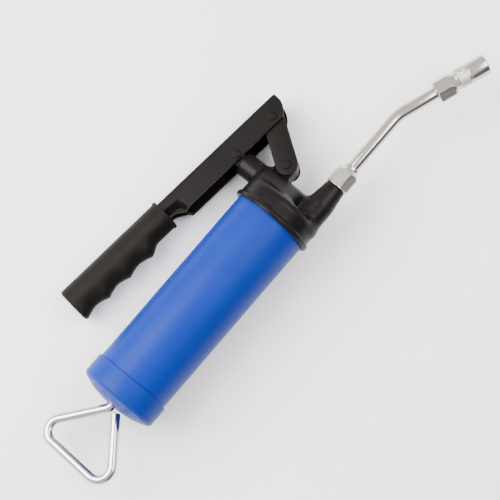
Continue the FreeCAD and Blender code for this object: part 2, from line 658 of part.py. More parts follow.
def rivet(label, half_length, place):
    """A round pin along Z with a low domed head outside each face."""
    body = body_named(label)
    face = f"({half_length})"
    corners = [
        ("0", f"-{face} - rivet_height"), ("rivet_radius", f"-{face} - rivet_height", "rivet_round"),
        ("rivet_radius", f"-{face}"), ("pivot_pin", f"-{face}"), ("pivot_pin", face),
        ("rivet_radius", face), ("rivet_radius", f"{face} + rivet_height", "rivet_round"),
        ("0", f"{face} + rivet_height")]
    sketch = outline(new_sketch(body, "RivetSketch", "XZ_Plane"), corners)
    turned = body.newObject("PartDesign::Revolution", "Rivet")
    turned.Profile = sketch
    turned.ReferenceAxis = (sketch, ["V_Axis"])
    turned.Angle = 360
    lay_down(body, **place)


def make_pivots():
    """The three pins: lug to links, links to lever, lever to plunger."""
    link_outside = "link_inner + link_thick + rivet_play"
    rivet("lug_pin", link_outside, {"x": size("link_pivot_x"), "y": size("link_pivot_y")})
    rivet("lever_pin", "channel_width / 2", {"x": size("lever_pivot_x"), "y": size("lever_pivot_y")})
    rivet("plunger_pin", "channel_width / 2", {"x": size(PUMP_ALONG), "y": size("plunger_pivot_y")})


def make_links():
    """Two flat links with full-round ends, one each side of the lug."""
    rise_x = size("lever_pivot_x - link_pivot_x")
    rise_y = size("lever_pivot_y - link_pivot_y")
    turn = Rotation(Vector(0, 0, 1), math.degrees(math.atan2(rise_y, rise_x)))
    span = "sqrt((lever_pivot_x - link_pivot_x)^2 + (lever_pivot_y - link_pivot_y)^2)"
    for label, level in (("link_near", "link_inner"), ("link_far", "-link_inner - link_thick")):
        body = body_named(label)
        flat = new_sketch(body, "FlatSketch", "XY_Plane", level)
        end = "link_width / 2"
        inset = f"link_width / 2 - {NEAR}"
        outline(flat, [
            (f"-{end}", f"-{end}", inset), (f"{span} + {end}", f"-{end}", inset),
            (f"{span} + {end}", end, inset), (f"-{end}", end, inset)])
        pad(body, flat, "link_thick", "Flat", both_ways=False)
        eyes = new_sketch(body, "EyeSketch")
        circle(eyes, "pivot_pin + pivot_play")
        circle(eyes, "pivot_pin + pivot_play", span)
        pocket(body, eyes, "channel_width", "Eyes")
        lay_down(body, x=size("link_pivot_x"), y=size("link_pivot_y"), turn=turn)


def make_plunger():
    """The pump plunger: a ground rod whose flat eye has a slot for the lever's pin."""
    body = body_named("plunger")
    revolve(body, [
        ("0", "plunger_foot"), ("plunger_radius", "plunger_foot", "plunger_edge"),
        ("plunger_radius", "plunger_pivot_y - eye_root"), ("0", "plunger_pivot_y - eye_root")],
        axis="V_Axis", name="Rod")
    eye = new_sketch(body, "EyeSketch")
    shoulder = "plunger_pivot_y - eye_radius"
    outline(eye, [
        ("-eye_width / 2", shoulder), ("eye_width / 2", shoulder),
        ("eye_width / 2", "plunger_pivot_y + eye_radius", f"eye_width / 2 - {NEAR}"),
        ("-eye_width / 2", "plunger_pivot_y + eye_radius", f"eye_width / 2 - {NEAR}")])
    pad(body, eye, "2 * eye_half", "Eye")
    slot = new_sketch(body, "SlotSketch")
    half = "(pivot_pin + slot_side)"
    reach = f"({half} + slot_long)"
    inset = f"{half} - {NEAR}"
    outline(slot, [
        (f"-{reach}", f"plunger_pivot_y - {half}", inset), (reach, f"plunger_pivot_y - {half}", inset),
        (reach, f"plunger_pivot_y + {half}", inset), (f"-{reach}", f"plunger_pivot_y + {half}", inset)])
    pocket(body, slot, "2 * eye_half + cut_margin", "Slot")
    lay_down(body, x=size(PUMP_ALONG))


# ---------------------------------------------------------------- pull rod and follower

def make_pull_rod():
    """One steel wire: straight through the barrel, then bent into the triangular handle."""
    body = body_named("pull_rod")
    path = outline(new_sketch(body, "PathSketch"), [
        ("rod_front", "0"), ("rod_bend - barrel_exposed", "0", "rod_bend_radius"),
        ("handle_left_x - barrel_exposed", "handle_left_y", "handle_corner"),
        ("handle_right_x - barrel_exposed", "handle_right_y", "handle_corner"),
        ("handle_tip_x - barrel_exposed", "handle_tip_y")], closed=False)
    section = new_sketch(body, "WireSketch", "YZ_Plane", "rod_front")
    circle(section, "rod_diameter / 2")
    sweep_along(body, section, path, "Wire")
    lay_down(body)


def make_follower():
    """The follower on the rod's end: plate, rubber cup, washer and nut, with its spring behind."""
    hole = "rod_diameter / 2 + thread_play"
    cup_x = "plate_x + plate_thickness"
    washer_x = f"{cup_x} + cup_web"
    nut_x = f"{washer_x} + plate_thickness"
    lay_down(ring_piece("follower_plate", "plate_x", "plate_thickness", hole, PLATE_RADIUS))
    cup = body_named("follower_cup")
    revolve(cup, [
        (cup_x, hole), (washer_x, hole), (washer_x, f"{CUP_RADIUS} - 2 * cup_lip"),
        (f"{cup_x} + cup_length", f"{CUP_RADIUS} - cup_lip_edge"), (f"{cup_x} + cup_length", CUP_RADIUS),
        (f"{cup_x} + cup_shoulder", f"{CUP_RADIUS} - cup_shoulder_inset"),
        (cup_x, f"{CUP_RADIUS} - cup_heel_inset")], name="Cup")
    lay_down(cup)
    lay_down(ring_piece("follower_washer", washer_x, "plate_thickness", hole,
                        f"{PLATE_RADIUS} * washer_share"))
    nut = body_named("follower_nut")
    hexagon = regular_hexagon(new_sketch(nut, "HexSketch", "YZ_Plane"), "follower_nut_flats")
    pad(nut, hexagon, "follower_nut_length", "Hex", both_ways=False)
    bore_along_axis(nut, "Thread", "0", "follower_nut_length", hole)
    lay_down(nut, x=size(nut_x))
    start = size("-barrel_exposed - cap_skirt + spring_gap")
    coil_piece("follower_spring", "spring_wire", "spring_coil", start, size("plate_x"),
               size("spring_turns"))


# ---------------------------------------------------------------- build, check and write

def centre_on_floor():
    """Shift every piece so that the origin lies on the floor under the middle of the gun's box."""
    bounds = FreeCAD.BoundBox()
    for piece in NODES:
        bounds.add(piece.Shape.optimalBoundingBox(False))
    shift = Vector(-bounds.Center.x, -bounds.Center.y, -bounds.ZMin)
    for piece in NODES:
        piece.Placement.Base = piece.Placement.Base + shift


def check_and_write():
    """Stop at the first failed object or bad shape, then write one file for each piece."""
    doc.recompute()
    for item in doc.Objects:
        if "Invalid" in item.State or "Error" in item.State:
            raise ValueError(f"{item.Label} did not compute: {item.State}")
    for piece in NODES:
        if piece.Shape.isNull() or not piece.Shape.isValid() or piece.Shape.Volume < TINY:
            raise ValueError(f"{piece.Label} has no sound shape")
    os.makedirs("parts", exist_ok=True)
    for piece in NODES:
        piece.Shape.exportStep(f"parts/{piece.Label}.step")


make_barrel()
make_end_cap()
make_head()
make_seals()
make_check_valve()
make_spout()
make_coupler()
make_lever()
make_grip()
make_pivots()
make_links()
make_plunger()
make_pull_rod()
make_follower()
doc.recompute()
centre_on_floor()
check_and_write()
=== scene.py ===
"""Grease gun: finished surfaces, materials, camera and light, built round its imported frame.

The gun's own frame, used for every shape below, has X along the barrel's axis, zero where the tube meets
the head, Y from the axis towards the lever, and Z out of the lever's plane. Lengths are in millimetres
until a shape is placed, which turns it with the gun and scales it to metres.
"""
import json
import math

import bmesh
import bpy
import numpy as np
import openvdb
from bpy.props import FloatProperty, FloatVectorProperty, PointerProperty
from mathutils import Matrix, Vector

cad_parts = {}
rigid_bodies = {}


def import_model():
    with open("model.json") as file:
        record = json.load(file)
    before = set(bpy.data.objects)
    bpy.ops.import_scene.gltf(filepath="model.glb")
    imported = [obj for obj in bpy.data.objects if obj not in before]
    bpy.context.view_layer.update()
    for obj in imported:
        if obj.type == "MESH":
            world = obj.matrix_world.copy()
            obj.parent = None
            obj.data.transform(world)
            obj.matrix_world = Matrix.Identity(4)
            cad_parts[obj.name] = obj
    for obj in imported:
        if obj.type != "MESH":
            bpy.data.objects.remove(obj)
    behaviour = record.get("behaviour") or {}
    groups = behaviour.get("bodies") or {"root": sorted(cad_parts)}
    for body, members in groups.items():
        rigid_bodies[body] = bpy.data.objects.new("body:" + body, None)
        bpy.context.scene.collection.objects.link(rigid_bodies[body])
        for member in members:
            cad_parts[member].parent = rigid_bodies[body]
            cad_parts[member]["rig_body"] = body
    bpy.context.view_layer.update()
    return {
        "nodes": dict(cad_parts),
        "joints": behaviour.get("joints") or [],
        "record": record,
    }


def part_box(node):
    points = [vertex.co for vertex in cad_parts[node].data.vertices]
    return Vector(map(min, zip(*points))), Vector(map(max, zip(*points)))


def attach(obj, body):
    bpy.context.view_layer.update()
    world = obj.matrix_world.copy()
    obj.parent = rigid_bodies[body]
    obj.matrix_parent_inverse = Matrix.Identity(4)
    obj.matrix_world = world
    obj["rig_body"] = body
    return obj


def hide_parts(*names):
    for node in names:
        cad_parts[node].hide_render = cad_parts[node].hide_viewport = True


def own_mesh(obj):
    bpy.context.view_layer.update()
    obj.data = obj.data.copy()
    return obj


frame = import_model()

bl_info = {
    "name": "Grease gun",
    "version": (1, 0, 0),
    "blender": (4, 5, 0),
    "location": "View3D > Sidebar > Grease gun",
    "description": "Builds the finished surfaces and materials of a lever grease gun round its frame",
    "category": "Add Mesh",
}

MM = 0.001
FULL = 2 * math.pi
JOINTS = {joint["name"]: joint for joint in frame["joints"]}


def box_mm(node):
    """A node's lowest and highest corner in the row frame, in millimetres."""
    low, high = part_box(node)
    return np.array(low) / MM, np.array(high) / MM


# the gun's own frame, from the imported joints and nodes
ACROSS = np.array(JOINTS["plunger_slide"]["axis"])
UPRIGHT = np.array(JOINTS["lever_swing"]["axis"])
GUN_AXES = np.stack([np.array([1.0, 0.0, 0.0]), ACROSS, UPRIGHT])
BARREL_LOW, BARREL_HIGH = box_mm("barrel")
HEAD_GAP = 0.2
GUN_ORIGIN = np.append(box_mm("head")[0][0] - HEAD_GAP, (BARREL_LOW + BARREL_HIGH)[1:] / 2)


def on_gun(point_m):
    """A point of the row frame, in metres, as a point of the gun's frame, in millimetres."""
    return GUN_AXES @ (np.array(point_m) / MM - GUN_ORIGIN)


# places read from the frame
LEVER_PIVOT = on_gun(JOINTS["lever_swing"]["pos_m"])
LINK_PIVOT = on_gun(JOINTS["link_swing"]["pos_m"])
TUBE_RADIUS = (BARREL_HIGH[2] - BARREL_LOW[2]) / 2
TUBE_FRONT = BARREL_HIGH[0] - GUN_ORIGIN[0]
TUBE_BACK = BARREL_LOW[0] - GUN_ORIGIN[0]
CAP_SEAM = box_mm("end_cap")[1][0] - GUN_ORIGIN[0]
CAP_END = box_mm("end_cap")[0][0] - GUN_ORIGIN[0]
BOSS_END = box_mm("head")[1][0] - GUN_ORIGIN[0]
BOSS_ACROSS = on_gun(np.array(sum(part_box("spout_washer"), Vector())) / 2)[1]

# sizes that several pieces share
THREAD_GAP, SHELL = 0.03, 1.5
PIN_RADIUS = 2.5
PUMP_ALONG, PLUNGER_PIN_ACROSS = 23.0, 51.4
PIPE_RADIUS = 4.9
PIPE_HOLE = PIPE_RADIUS + THREAD_GAP

# the spout's route: straight out of its boss, then one bend down to the coupler that stands on its end
PIPE_START, PIPE_BEND, PIPE_END, COUPLER_ALONG = 45.0, 123.5, 160.0, 155.0
PIPE_BEND_RADIUS = 30.0
PIPE_ANGLE = -math.degrees(math.acos(-np.array(JOINTS["jaw_push"]["axis"])[0]))
FALL = math.tan(math.radians(PIPE_ANGLE))
PIPE_ROUTE = [(PIPE_START, BOSS_ACROSS), (PIPE_BEND, BOSS_ACROSS, PIPE_BEND_RADIUS),
              (PIPE_END, BOSS_ACROSS + (PIPE_END - PIPE_BEND) * FALL)]
COUPLER_BASE = (COUPLER_ALONG, BOSS_ACROSS + (COUPLER_ALONG - PIPE_BEND) * FALL, 0.0)


# ---- sizes and colours

def linear(hex_colour):
    """An sRGB colour given as hex digits, turned to linear light."""
    srgb = np.array([int(hex_colour[i:i + 2], 16) for i in (0, 2, 4)]) / 255
    return tuple(np.where(srgb <= 0.04045, srgb / 12.92, ((srgb + 0.055) / 1.055) ** 2.4).tolist())


def colour_property(name, description, hex_colour):
    """A colour that the user can change, given as sRGB hex digits."""
    return FloatVectorProperty(name=name, description=description, subtype="COLOR", size=3,
                               min=0, max=1, default=linear(hex_colour))


def length_property(name, description, default_mm):
    """A length that the user can change, in metres, given in millimetres."""
    return FloatProperty(name=name, description=description, default=default_mm * MM, unit="LENGTH", min=0)


class GreaseGunSizes(bpy.types.PropertyGroup):
    """Sizes of what the finished surfaces add to the frame."""
    cast_fillet: length_property("Cast fillet", "How softly the casting's bodies run together", 3.2)
    fold_radius: length_property("Fold radius", "Outer radius of the lever's two folds", 3.4)
    sheet: length_property("Lever sheet", "Thickness of the lever's sheet steel", 2)
    finger_depth: length_property("Finger depth", "Depth of the hollows in the grip", 2.5)
    knurl_pitch: length_property("Knurl pitch", "Distance between the knurl's grooves", 1.15)
    knurl_depth: length_property("Knurl depth", "Depth of the knurl's grooves", 0.2)
    cast_grain: length_property("Cast grain", "Size of the grain left by the mould", 0.9)
    orange_peel: length_property("Orange peel", "Size of the ripple in the powder coat", 1.8)


class GreaseGunColours(bpy.types.PropertyGroup):
    """Colours of the gun and the stage."""
    barrel_blue: colour_property("Barrel blue", "Powder coat of the barrel and cap", "0C287C")
    casting_black: colour_property("Casting black", "Enamel on the head casting", "110F0D")
    lever_black: colour_property("Lever black", "Powder coat of the lever and links", "110F0D")
    grip_black: colour_property("Grip black", "Moulded grip", "14120F")
    nickel: colour_property("Nickel", "Plating of the spout, coupler and pull rod", "C3BEB6")
    steel: colour_property("Steel", "Bare ground steel", "A8A49D")
    spring_steel: colour_property("Spring steel", "Oiled spring wire", "6B6763")
    rubber: colour_property("Rubber", "Cup, packing and seals", "242322")
    floor: colour_property("Floor", "Studio floor", "FBFAF9")


# ---- mesh helpers

def grid_faces(rows, columns, round_rows=False, round_columns=True):
    """Four-sided faces between neighbours of a grid of rows x columns points."""
    row, column = np.meshgrid(np.arange(rows if round_rows else rows - 1),
                              np.arange(columns if round_columns else columns - 1), indexing="ij")
    next_row, next_column = (row + 1) % rows, (column + 1) % columns
    corners = [row * columns + column, row * columns + next_column,
               next_row * columns + next_column, next_row * columns + column]
    return np.stack(corners, -1).reshape(-1, 4)


def placed(points):
    """Points of the gun's frame, in millimetres, as row frame points in metres."""
    return (points.reshape(-1, 3) @ GUN_AXES + GUN_ORIGIN) * MM


def new_piece(name, points, faces, node, crease=35, solidify=None, bevel=None):
    """Make one piece that stands for a CAD node and takes its finish: join its seams, turn its faces out
    and mark its creases."""
    weld, sliver, bevel_steps, bevel_from = 0.002, 0.001, 3, 50
    mesh = bpy.data.meshes.new(name)
    mesh.from_pydata(placed(points).tolist(), [], faces.tolist())
    tidy = bmesh.new()
    tidy.from_mesh(mesh)
    bmesh.ops.remove_doubles(tidy, verts=tidy.verts, dist=weld * MM)
    bmesh.ops.dissolve_degenerate(tidy, edges=tidy.edges, dist=sliver * MM)
    bmesh.ops.recalc_face_normals(tidy, faces=tidy.faces)
    tidy.to_mesh(mesh)
    tidy.free()
    mesh.shade_smooth()
    mesh.set_sharp_from_angle(angle=math.radians(crease))
    piece = bpy.data.objects.new(name, mesh)
    bpy.context.scene.collection.objects.link(piece)
    mesh.materials.append(finish_of(node))
    if solidify:
        wall = piece.modifiers.new("Sheet", "SOLIDIFY")
        wall.thickness = solidify * MM
        wall.offset = -1
        wall.use_even_offset = True
    if bevel:
        edge = piece.modifiers.new("Edge", "BEVEL")
        edge.width = bevel * MM
        edge.segments = bevel_steps
        edge.limit_method = "ANGLE"
        edge.angle_limit = math.radians(bevel_from)
    body = frame["nodes"][node]["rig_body"]
    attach(piece, body)
    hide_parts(node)
    return piece


def slot_of(node):
    """The material slot that the record gives a node."""
    return next(part["material_slot"] for part in frame["record"]["subparts"] if part["node"] == node)


def rounded(corners, steps=8, closed=False):
    """A line through corners (x, y, radius): straight sides, and at each corner with a radius the arc
    that touches both of its sides, centre + radius * (cos a, sin a) for a between the touching points."""
    places = np.array([corner[:2] for corner in corners], float)
    line = []
    for index, corner in enumerate(corners):
        place = places[index]
        radius = corner[2] if len(corner) > 2 else 0
        if not radius:
            line.append(place[None])
            continue
        back = places[index - 1] - place
        ahead = places[(index + 1) % len(corners)] - place
        back, ahead = back / np.linalg.norm(back), ahead / np.linalg.norm(ahead)
        half = math.acos(np.clip(back @ ahead, -1, 1)) / 2
        middle = (back + ahead) / np.linalg.norm(back + ahead)
        centre = place + middle * radius / math.sin(half)
        start = place + back * radius / math.tan(half) - centre
        end = place + ahead * radius / math.tan(half) - centre
        first, last = math.atan2(start[1], start[0]), math.atan2(end[1], end[0])
        turn = (last - first + math.pi) % FULL - math.pi
        angle = first + turn * np.linspace(0, 1, steps + 1)[:, None]
        line.append(centre + radius * np.hstack([np.cos(angle), np.sin(angle)]))
    line = np.vstack(line)
    return np.vstack([line, line[:1]]) if closed else line


def turned(profile, around=96, centre=(0.0, 0.0, 0.0), tilt=0.0):
    """A profile (along, radius) turned about an axis: (along, radius cos a, radius sin a), with the
    axis then tilted in the XY plane and moved to its centre."""
    angle = np.linspace(0, FULL, around, endpoint=False)
    along = np.broadcast_to(profile[:, :1], (len(profile), around))
    points = np.stack([along, profile[:, 1:] * np.cos(angle), profile[:, 1:] * np.sin(angle)], -1)
    return moved(points, centre, tilt), grid_faces(len(profile), around)


def moved(points, centre, tilt):
    """Points turned by an angle in degrees in the XY plane and then moved."""
    angle = math.radians(tilt)
    turn = np.array([[math.cos(angle), math.sin(angle), 0], [-math.sin(angle), math.cos(angle), 0],
                     [0, 0, 1]])
    return points @ turn + np.array(centre, float)


def bent_wire(route, radius, end_round, around=40, bend_steps=14, ends=(True, True)):
    """A round wire carried along a flat route of straights and arcs: route + radius (normal cos a +
    Z sin a). At a finished end the radius shrinks on a quarter circle, so that the edge is rounded."""
    line = rounded(route, steps=bend_steps)
    step = np.diff(line, axis=0)
    step = step / np.linalg.norm(step, axis=1)[:, None]
    heading = np.vstack([step[:1], step[:-1] + step[1:], step[-1:]])
    heading = heading / np.linalg.norm(heading, axis=1)[:, None]
    stations = [(place, way, radius) for place, way in zip(line, heading)]
    quarter = np.linspace(0, math.pi / 2, 5)
    if ends[0]:
        lead = [(line[0] + heading[0] * end_round * (1 - math.sin(q)), heading[0],
                 radius - end_round * (1 - math.cos(q))) for q in quarter[::-1]]
        stations = [(line[0], heading[0], 0.0)] + lead + stations[1:]
    if ends[1]:
        trail = [(line[-1] - heading[-1] * end_round * (1 - math.sin(q)), heading[-1],
                  radius - end_round * (1 - math.cos(q))) for q in quarter]
        stations = stations[:-1] + trail + [(line[-1], heading[-1], 0.0)]
    place = np.array([station[0] for station in stations])
    way = np.array([station[1] for station in stations])
    wide = np.array([station[2] for station in stations])
    angle = np.linspace(0, FULL, around, endpoint=False)
    normal = np.stack([-way[:, 1], way[:, 0]], -1)
    flat = place[:, None] + normal[:, None] * (wide[:, None] * np.cos(angle))[..., None]
    lift = wide[:, None] * np.sin(angle)
    return np.concatenate([flat, lift[..., None]], -1), grid_faces(len(place), around)


def smooth_step(value):
    """Zero below 0, one above 1, and 3x^2 - 2x^3 between."""
    share = np.clip(value, 0, 1)
    return share * share * (3 - 2 * share)


# ---- materials

def add_node(tree, kind, inputs=None, **settings):
    """Add one node, with its settings, its values and the sockets linked to it."""
    node = tree.nodes.new(kind)
    for key, value in settings.items():
        setattr(node, key, value)
    for key, value in (inputs or {}).items():
        if isinstance(value, bpy.types.NodeSocket):
            tree.links.new(value, node.inputs[key])
        else:
            node.inputs[key].default_value = value
    return node


def new_material(name):
    """An empty material: its tree, its shader and the object coordinates in metres."""
    material = bpy.data.materials.new(name)
    material.use_nodes = True
    tree = material.node_tree
    shader = tree.nodes["Principled BSDF"]
    place = add_node(tree, "ShaderNodeTexCoord").outputs["Object"]
    return material, tree, shader, place


def noise(tree, place, size_mm, detail, roughness):
    """Cloudy noise between 0 and 1, with features of a real size."""
    cloud = add_node(tree, "ShaderNodeTexNoise", {
        "Vector": place, "Scale": 1 / (size_mm * MM), "Detail": detail, "Roughness": roughness})
    return cloud.outputs["Fac"]


def ranged(tree, value, low, high, start=0.3, end=0.7):
    """A value that runs from low to high while the given one runs from start to end."""
    stretch = add_node(tree, "ShaderNodeMapRange", {
        "Value": value, "From Min": start, "From Max": end, "To Min": low, "To Max": high})
    return stretch.outputs["Result"]


def tinted(tree, colour, place, size_mm, spread):
    """A colour that varies slowly over the surface, lighter and darker by a share."""
    value = ranged(tree, noise(tree, place, size_mm, 3.0, 0.55), 1 - spread, 1 + spread)
    return add_node(tree, "ShaderNodeHueSaturation", {
        "Value": value, "Color": (*colour, 1)}).outputs["Color"]


def painted_edge_highlight(tree, base, highlight_hex, start, end, strength):
    """The base colour, mixed towards a lighter one where the surface is convex, as its pointiness gives: a
    painted highlight along the edges.
    """
    # painted highlight: convex edges are lightened as if light caught them
    bend = add_node(tree, "ShaderNodeNewGeometry").outputs["Pointiness"]
    return add_node(tree, "ShaderNodeMix", {
        "Factor": ranged(tree, bend, 0.0, strength, start, end), 6: base,
        7: (*linear(highlight_hex), 1)}, data_type="RGBA").outputs[2]


def dress(tree, shader, colour, roughness, height, strength, depth_mm):
    """Link a shader's colour and roughness, and a height as its relief, with its depth in millimetres."""
    bump = add_node(tree, "ShaderNodeBump", {
        "Height": height, "Strength": strength, "Distance": depth_mm * MM})
    tree.links.new(colour, shader.inputs["Base Color"])
    tree.links.new(roughness, shader.inputs["Roughness"])
    tree.links.new(bump.outputs["Normal"], shader.inputs["Normal"])


def coating(name, colour, cloud, highlight, grain, gloss, relief, shine):
    """A paint: cloud is the size and spread of its tint, then come the colour and reach of a painted
    highlight on its convex edges, grain the noise that its gloss, from low to high, and its relief,
    strength and depth, both follow."""
    material, tree, shader, place = new_material(name)
    base = tinted(tree, colour, place, *cloud)
    height = noise(tree, place, *grain)
    dress(tree, shader, painted_edge_highlight(tree, base, *highlight), ranged(tree, height, *gloss), height, *relief)
    shader.inputs["Specular IOR Level"].default_value = shine
    return material


def blue_powder_coat(name, colours, sizes):
    """Powder-coated steel: a full, slightly uneven blue, a soft broad shine, faint orange peel and a
    painted highlight, a lighter blue, along its convex edges.
    """
    # painted highlight: the convex edges are mixed towards the lighter blue 2F58C4
    return coating(
        name, colours.barrel_blue, cloud=(28, 0.05), highlight=("2F58C4", 0.53, 0.6, 0.5),
        grain=(sizes.orange_peel / MM, 2.0, 0.5), gloss=(0.36, 0.46), relief=(0.12, 0.04), shine=0.1)


def enamelled_casting(name, colours, sizes):
    """Enamelled die casting: near black with a warm cast, glossy on top of the mould's fine grain, with a
    painted highlight, dark grey, along its convex edges.
    """
    # painted highlight: the convex edges are mixed towards the dark grey 2A2725
    return coating(
        name, colours.casting_black, cloud=(16, 0.2), highlight=("2A2725", 0.54, 0.62, 0.5),
        grain=(sizes.cast_grain / MM, 4.0, 0.6), gloss=(0.26, 0.4), relief=(0.25, 0.06), shine=0.09)


def black_powder_coat(name, colours, sizes):
    """Powder-coated sheet steel: black, semi-gloss, rippled, with a painted highlight, greyer, along its
    pressed edges.
    """
    # painted highlight: the convex edges are mixed towards the grey 2C2927
    return coating(
        name, colours.lever_black, cloud=(22, 0.18), highlight=("2C2927", 0.53, 0.6, 0.55),
        grain=(sizes.orange_peel / MM, 3.0, 0.55), gloss=(0.33, 0.46), relief=(0.2, 0.05), shine=0.06)


def moulded_vinyl(name, colours, sizes):
    """Dip-moulded soft vinyl: a satin, very finely pitted black that is a little warmer than the paint,
    with a painted highlight along its convex edges.
    """
    pit_mm, haze_mm = 0.5, 9
    material, tree, shader, place = new_material(name)
    # painted highlight: the convex edges are mixed towards the lighter 2A2723
    base = painted_edge_highlight(tree, tinted(tree, colours.grip_black, place, 14, 0.16), "2A2723", 0.52, 0.6, 0.45)
    pits = add_node(tree, "ShaderNodeTexVoronoi", {"Vector": place, "Scale": 1 / (pit_mm * MM)})
    satin = ranged(tree, noise(tree, place, haze_mm, 4.0, 0.6), 0.42, 0.56)
    dress(tree, shader, base, satin, pits.outputs["Distance"], 0.18, 0.05)
    shader.inputs["Specular IOR Level"].default_value = 0.06
    return material


def drawn_metal(name, colour, gloss, streak_mm, streak_depth_mm, spread):
    """A bare or plated metal drawn along the gun: streaks twenty times longer than they are wide."""
    material, tree, shader, place = new_material(name)
    stretched = add_node(tree, "ShaderNodeMapping", {"Vector": place, "Scale": (0.05, 1.0, 1.0)})
    streak = noise(tree, stretched.outputs["Vector"], streak_mm, 3.0, 0.6)
    base = tinted(tree, colour, place, 7, spread)
    dress(tree, shader, base, ranged(tree, streak, *gloss), streak, 0.25, streak_depth_mm)
    shader.inputs["Metallic"].default_value = 1.0
    return material


def nickel_plate(name, colours, sizes):
    """Bright nickel plate over drawn steel, with hair-fine streaks."""
    return drawn_metal(name, colours.nickel, (0.1, 0.2), 0.35, 0.01, 0.03)


def ground_steel(name, colours, sizes):
    """Ground steel: greyer and duller than the plate, with finer and deeper streaks."""
    return drawn_metal(name, colours.steel, (0.22, 0.36), 0.25, 0.015, 0.06)


def spring_wire(name, colours, sizes):
    """Oiled spring wire: dark grey and uneven."""
    return drawn_metal(name, colours.spring_steel, (0.24, 0.4), 0.4, 0.02, 0.12)


def moulded_rubber(name, colours, sizes):
    """Oil-proof moulded rubber: dull dark grey with a faint bloom."""
    material, tree, shader, place = new_material(name)
    bloom = noise(tree, place, 1.2, 4.0, 0.65)
    base = tinted(tree, colours.rubber, place, 5, 0.25)
    dress(tree, shader, base, ranged(tree, bloom, 0.62, 0.8), bloom, 0.3, 0.05)
    return material


# each slot of the record, with the name of its finish and the function that makes it
FINISHES = {
    "blue_paint": ("powder_coated_steel_blue", blue_powder_coat),
    "black_casting": ("enamelled_casting_black", enamelled_casting),
    "black_paint": ("powder_coated_steel_black", black_powder_coat),
    "grip_plastic": ("moulded_vinyl_black", moulded_vinyl),
    "plated_steel": ("nickel_plated_steel", nickel_plate),
    "plain_steel": ("ground_steel", ground_steel),
    "spring_steel": ("oiled_spring_wire", spring_wire),
    "rubber": ("moulded_rubber_black", moulded_rubber),
}


def finish_of(node):
    """The finish that the record's slot asks for on a node, made when it is first needed."""
    scene = bpy.context.scene
    name, make = FINISHES[slot_of(node)]
    return bpy.data.materials.get(name) or make(name, scene.grease_gun_colours, scene.grease_gun_sizes)


# ---- barrel and cap

class GREASEGUN_OT_barrel(bpy.types.Operator):
    """Build the barrel: a tube with a rolled lip at each end"""
    bl_idname = "greasegun.barrel"
    bl_label = "Barrel"

    def execute(self, context):
        wall, lip = 1.5, 0.5
        inner = TUBE_RADIUS - wall
        profile = rounded([
            (TUBE_BACK, inner, lip), (TUBE_BACK, TUBE_RADIUS, lip), (TUBE_FRONT, TUBE_RADIUS, lip),
            (TUBE_FRONT, inner, lip)], steps=5, closed=True)
        points, faces = turned(profile, around=160)
        new_piece("barrel_tube", points, faces, "barrel")
        return {"FINISHED"}


class GREASEGUN_OT_end_cap(bpy.types.Operator):
    """Build the end cap: a pressed skirt, a rounded shoulder, a shallow dome and the rod's hole"""
    bl_idname = "greasegun.end_cap"
    bl_label = "End cap"

    def execute(self, context):
        corner, lip, hole, hole_edge = 4.2, 0.6, 4.1, 0.5
        dome, web, floor, step = 6.2, 2.0, 2.6, 2.0
        knee_along, knee_share, knee_round = 4.9, 0.56, 34
        outer, inner = TUBE_RADIUS + SHELL, TUBE_RADIUS + THREAD_GAP
        back = CAP_END + dome
        profile = rounded([
            (CAP_SEAM, inner), (CAP_SEAM, outer, lip), (back, outer, corner),
            (back - knee_along, outer * knee_share, knee_round), (CAP_END, hole, hole_edge),
            (CAP_END + web, hole, hole_edge), (back + floor, TUBE_RADIUS - step), (back + floor, inner)],
            steps=12, closed=True)
        points, faces = turned(profile, around=160)
        new_piece("end_cap_shell", points, faces, "end_cap")
        return {"FINISHED"}


# ---- head casting

def smooth_union(first, second, blend):
    """The smaller distance, with the two run together over a band: min(a, b) - h^2 blend / 4, where
    h = max(blend - |a - b|, 0) / blend."""
    share = np.maximum(blend - np.abs(first - second), 0) / blend
    return np.minimum(first, second) - share * share * blend / 4


def smooth_cut(body, tool, blend):
    """The body without the tool, with the edge between them softened: max(body, -tool) run together."""
    return -smooth_union(-body, tool, blend)


def rod_distance(across, along, radius, low, high, edge):
    """Distance to a solid round bar: distance from its axis less its radius, and beyond its two ends,
    with both rounded by the edge radius."""
    wide = across - radius + edge
    long = np.maximum(low - along, along - high) + edge
    outside = np.sqrt(np.maximum(wide, 0) ** 2 + np.maximum(long, 0) ** 2)
    return outside + np.minimum(np.maximum(wide, long), 0) - edge


def stadium_distance(x, y, start, end, radius):
    """Distance in the XY plane to a line between two points, less a radius."""
    way = end - start
    share = np.clip(((x - start[0]) * way[0] + (y - start[1]) * way[1]) / (way @ way), 0, 1)
    return np.hypot(x - start[0] - way[0] * share, y - start[1] - way[1] * share) - radius


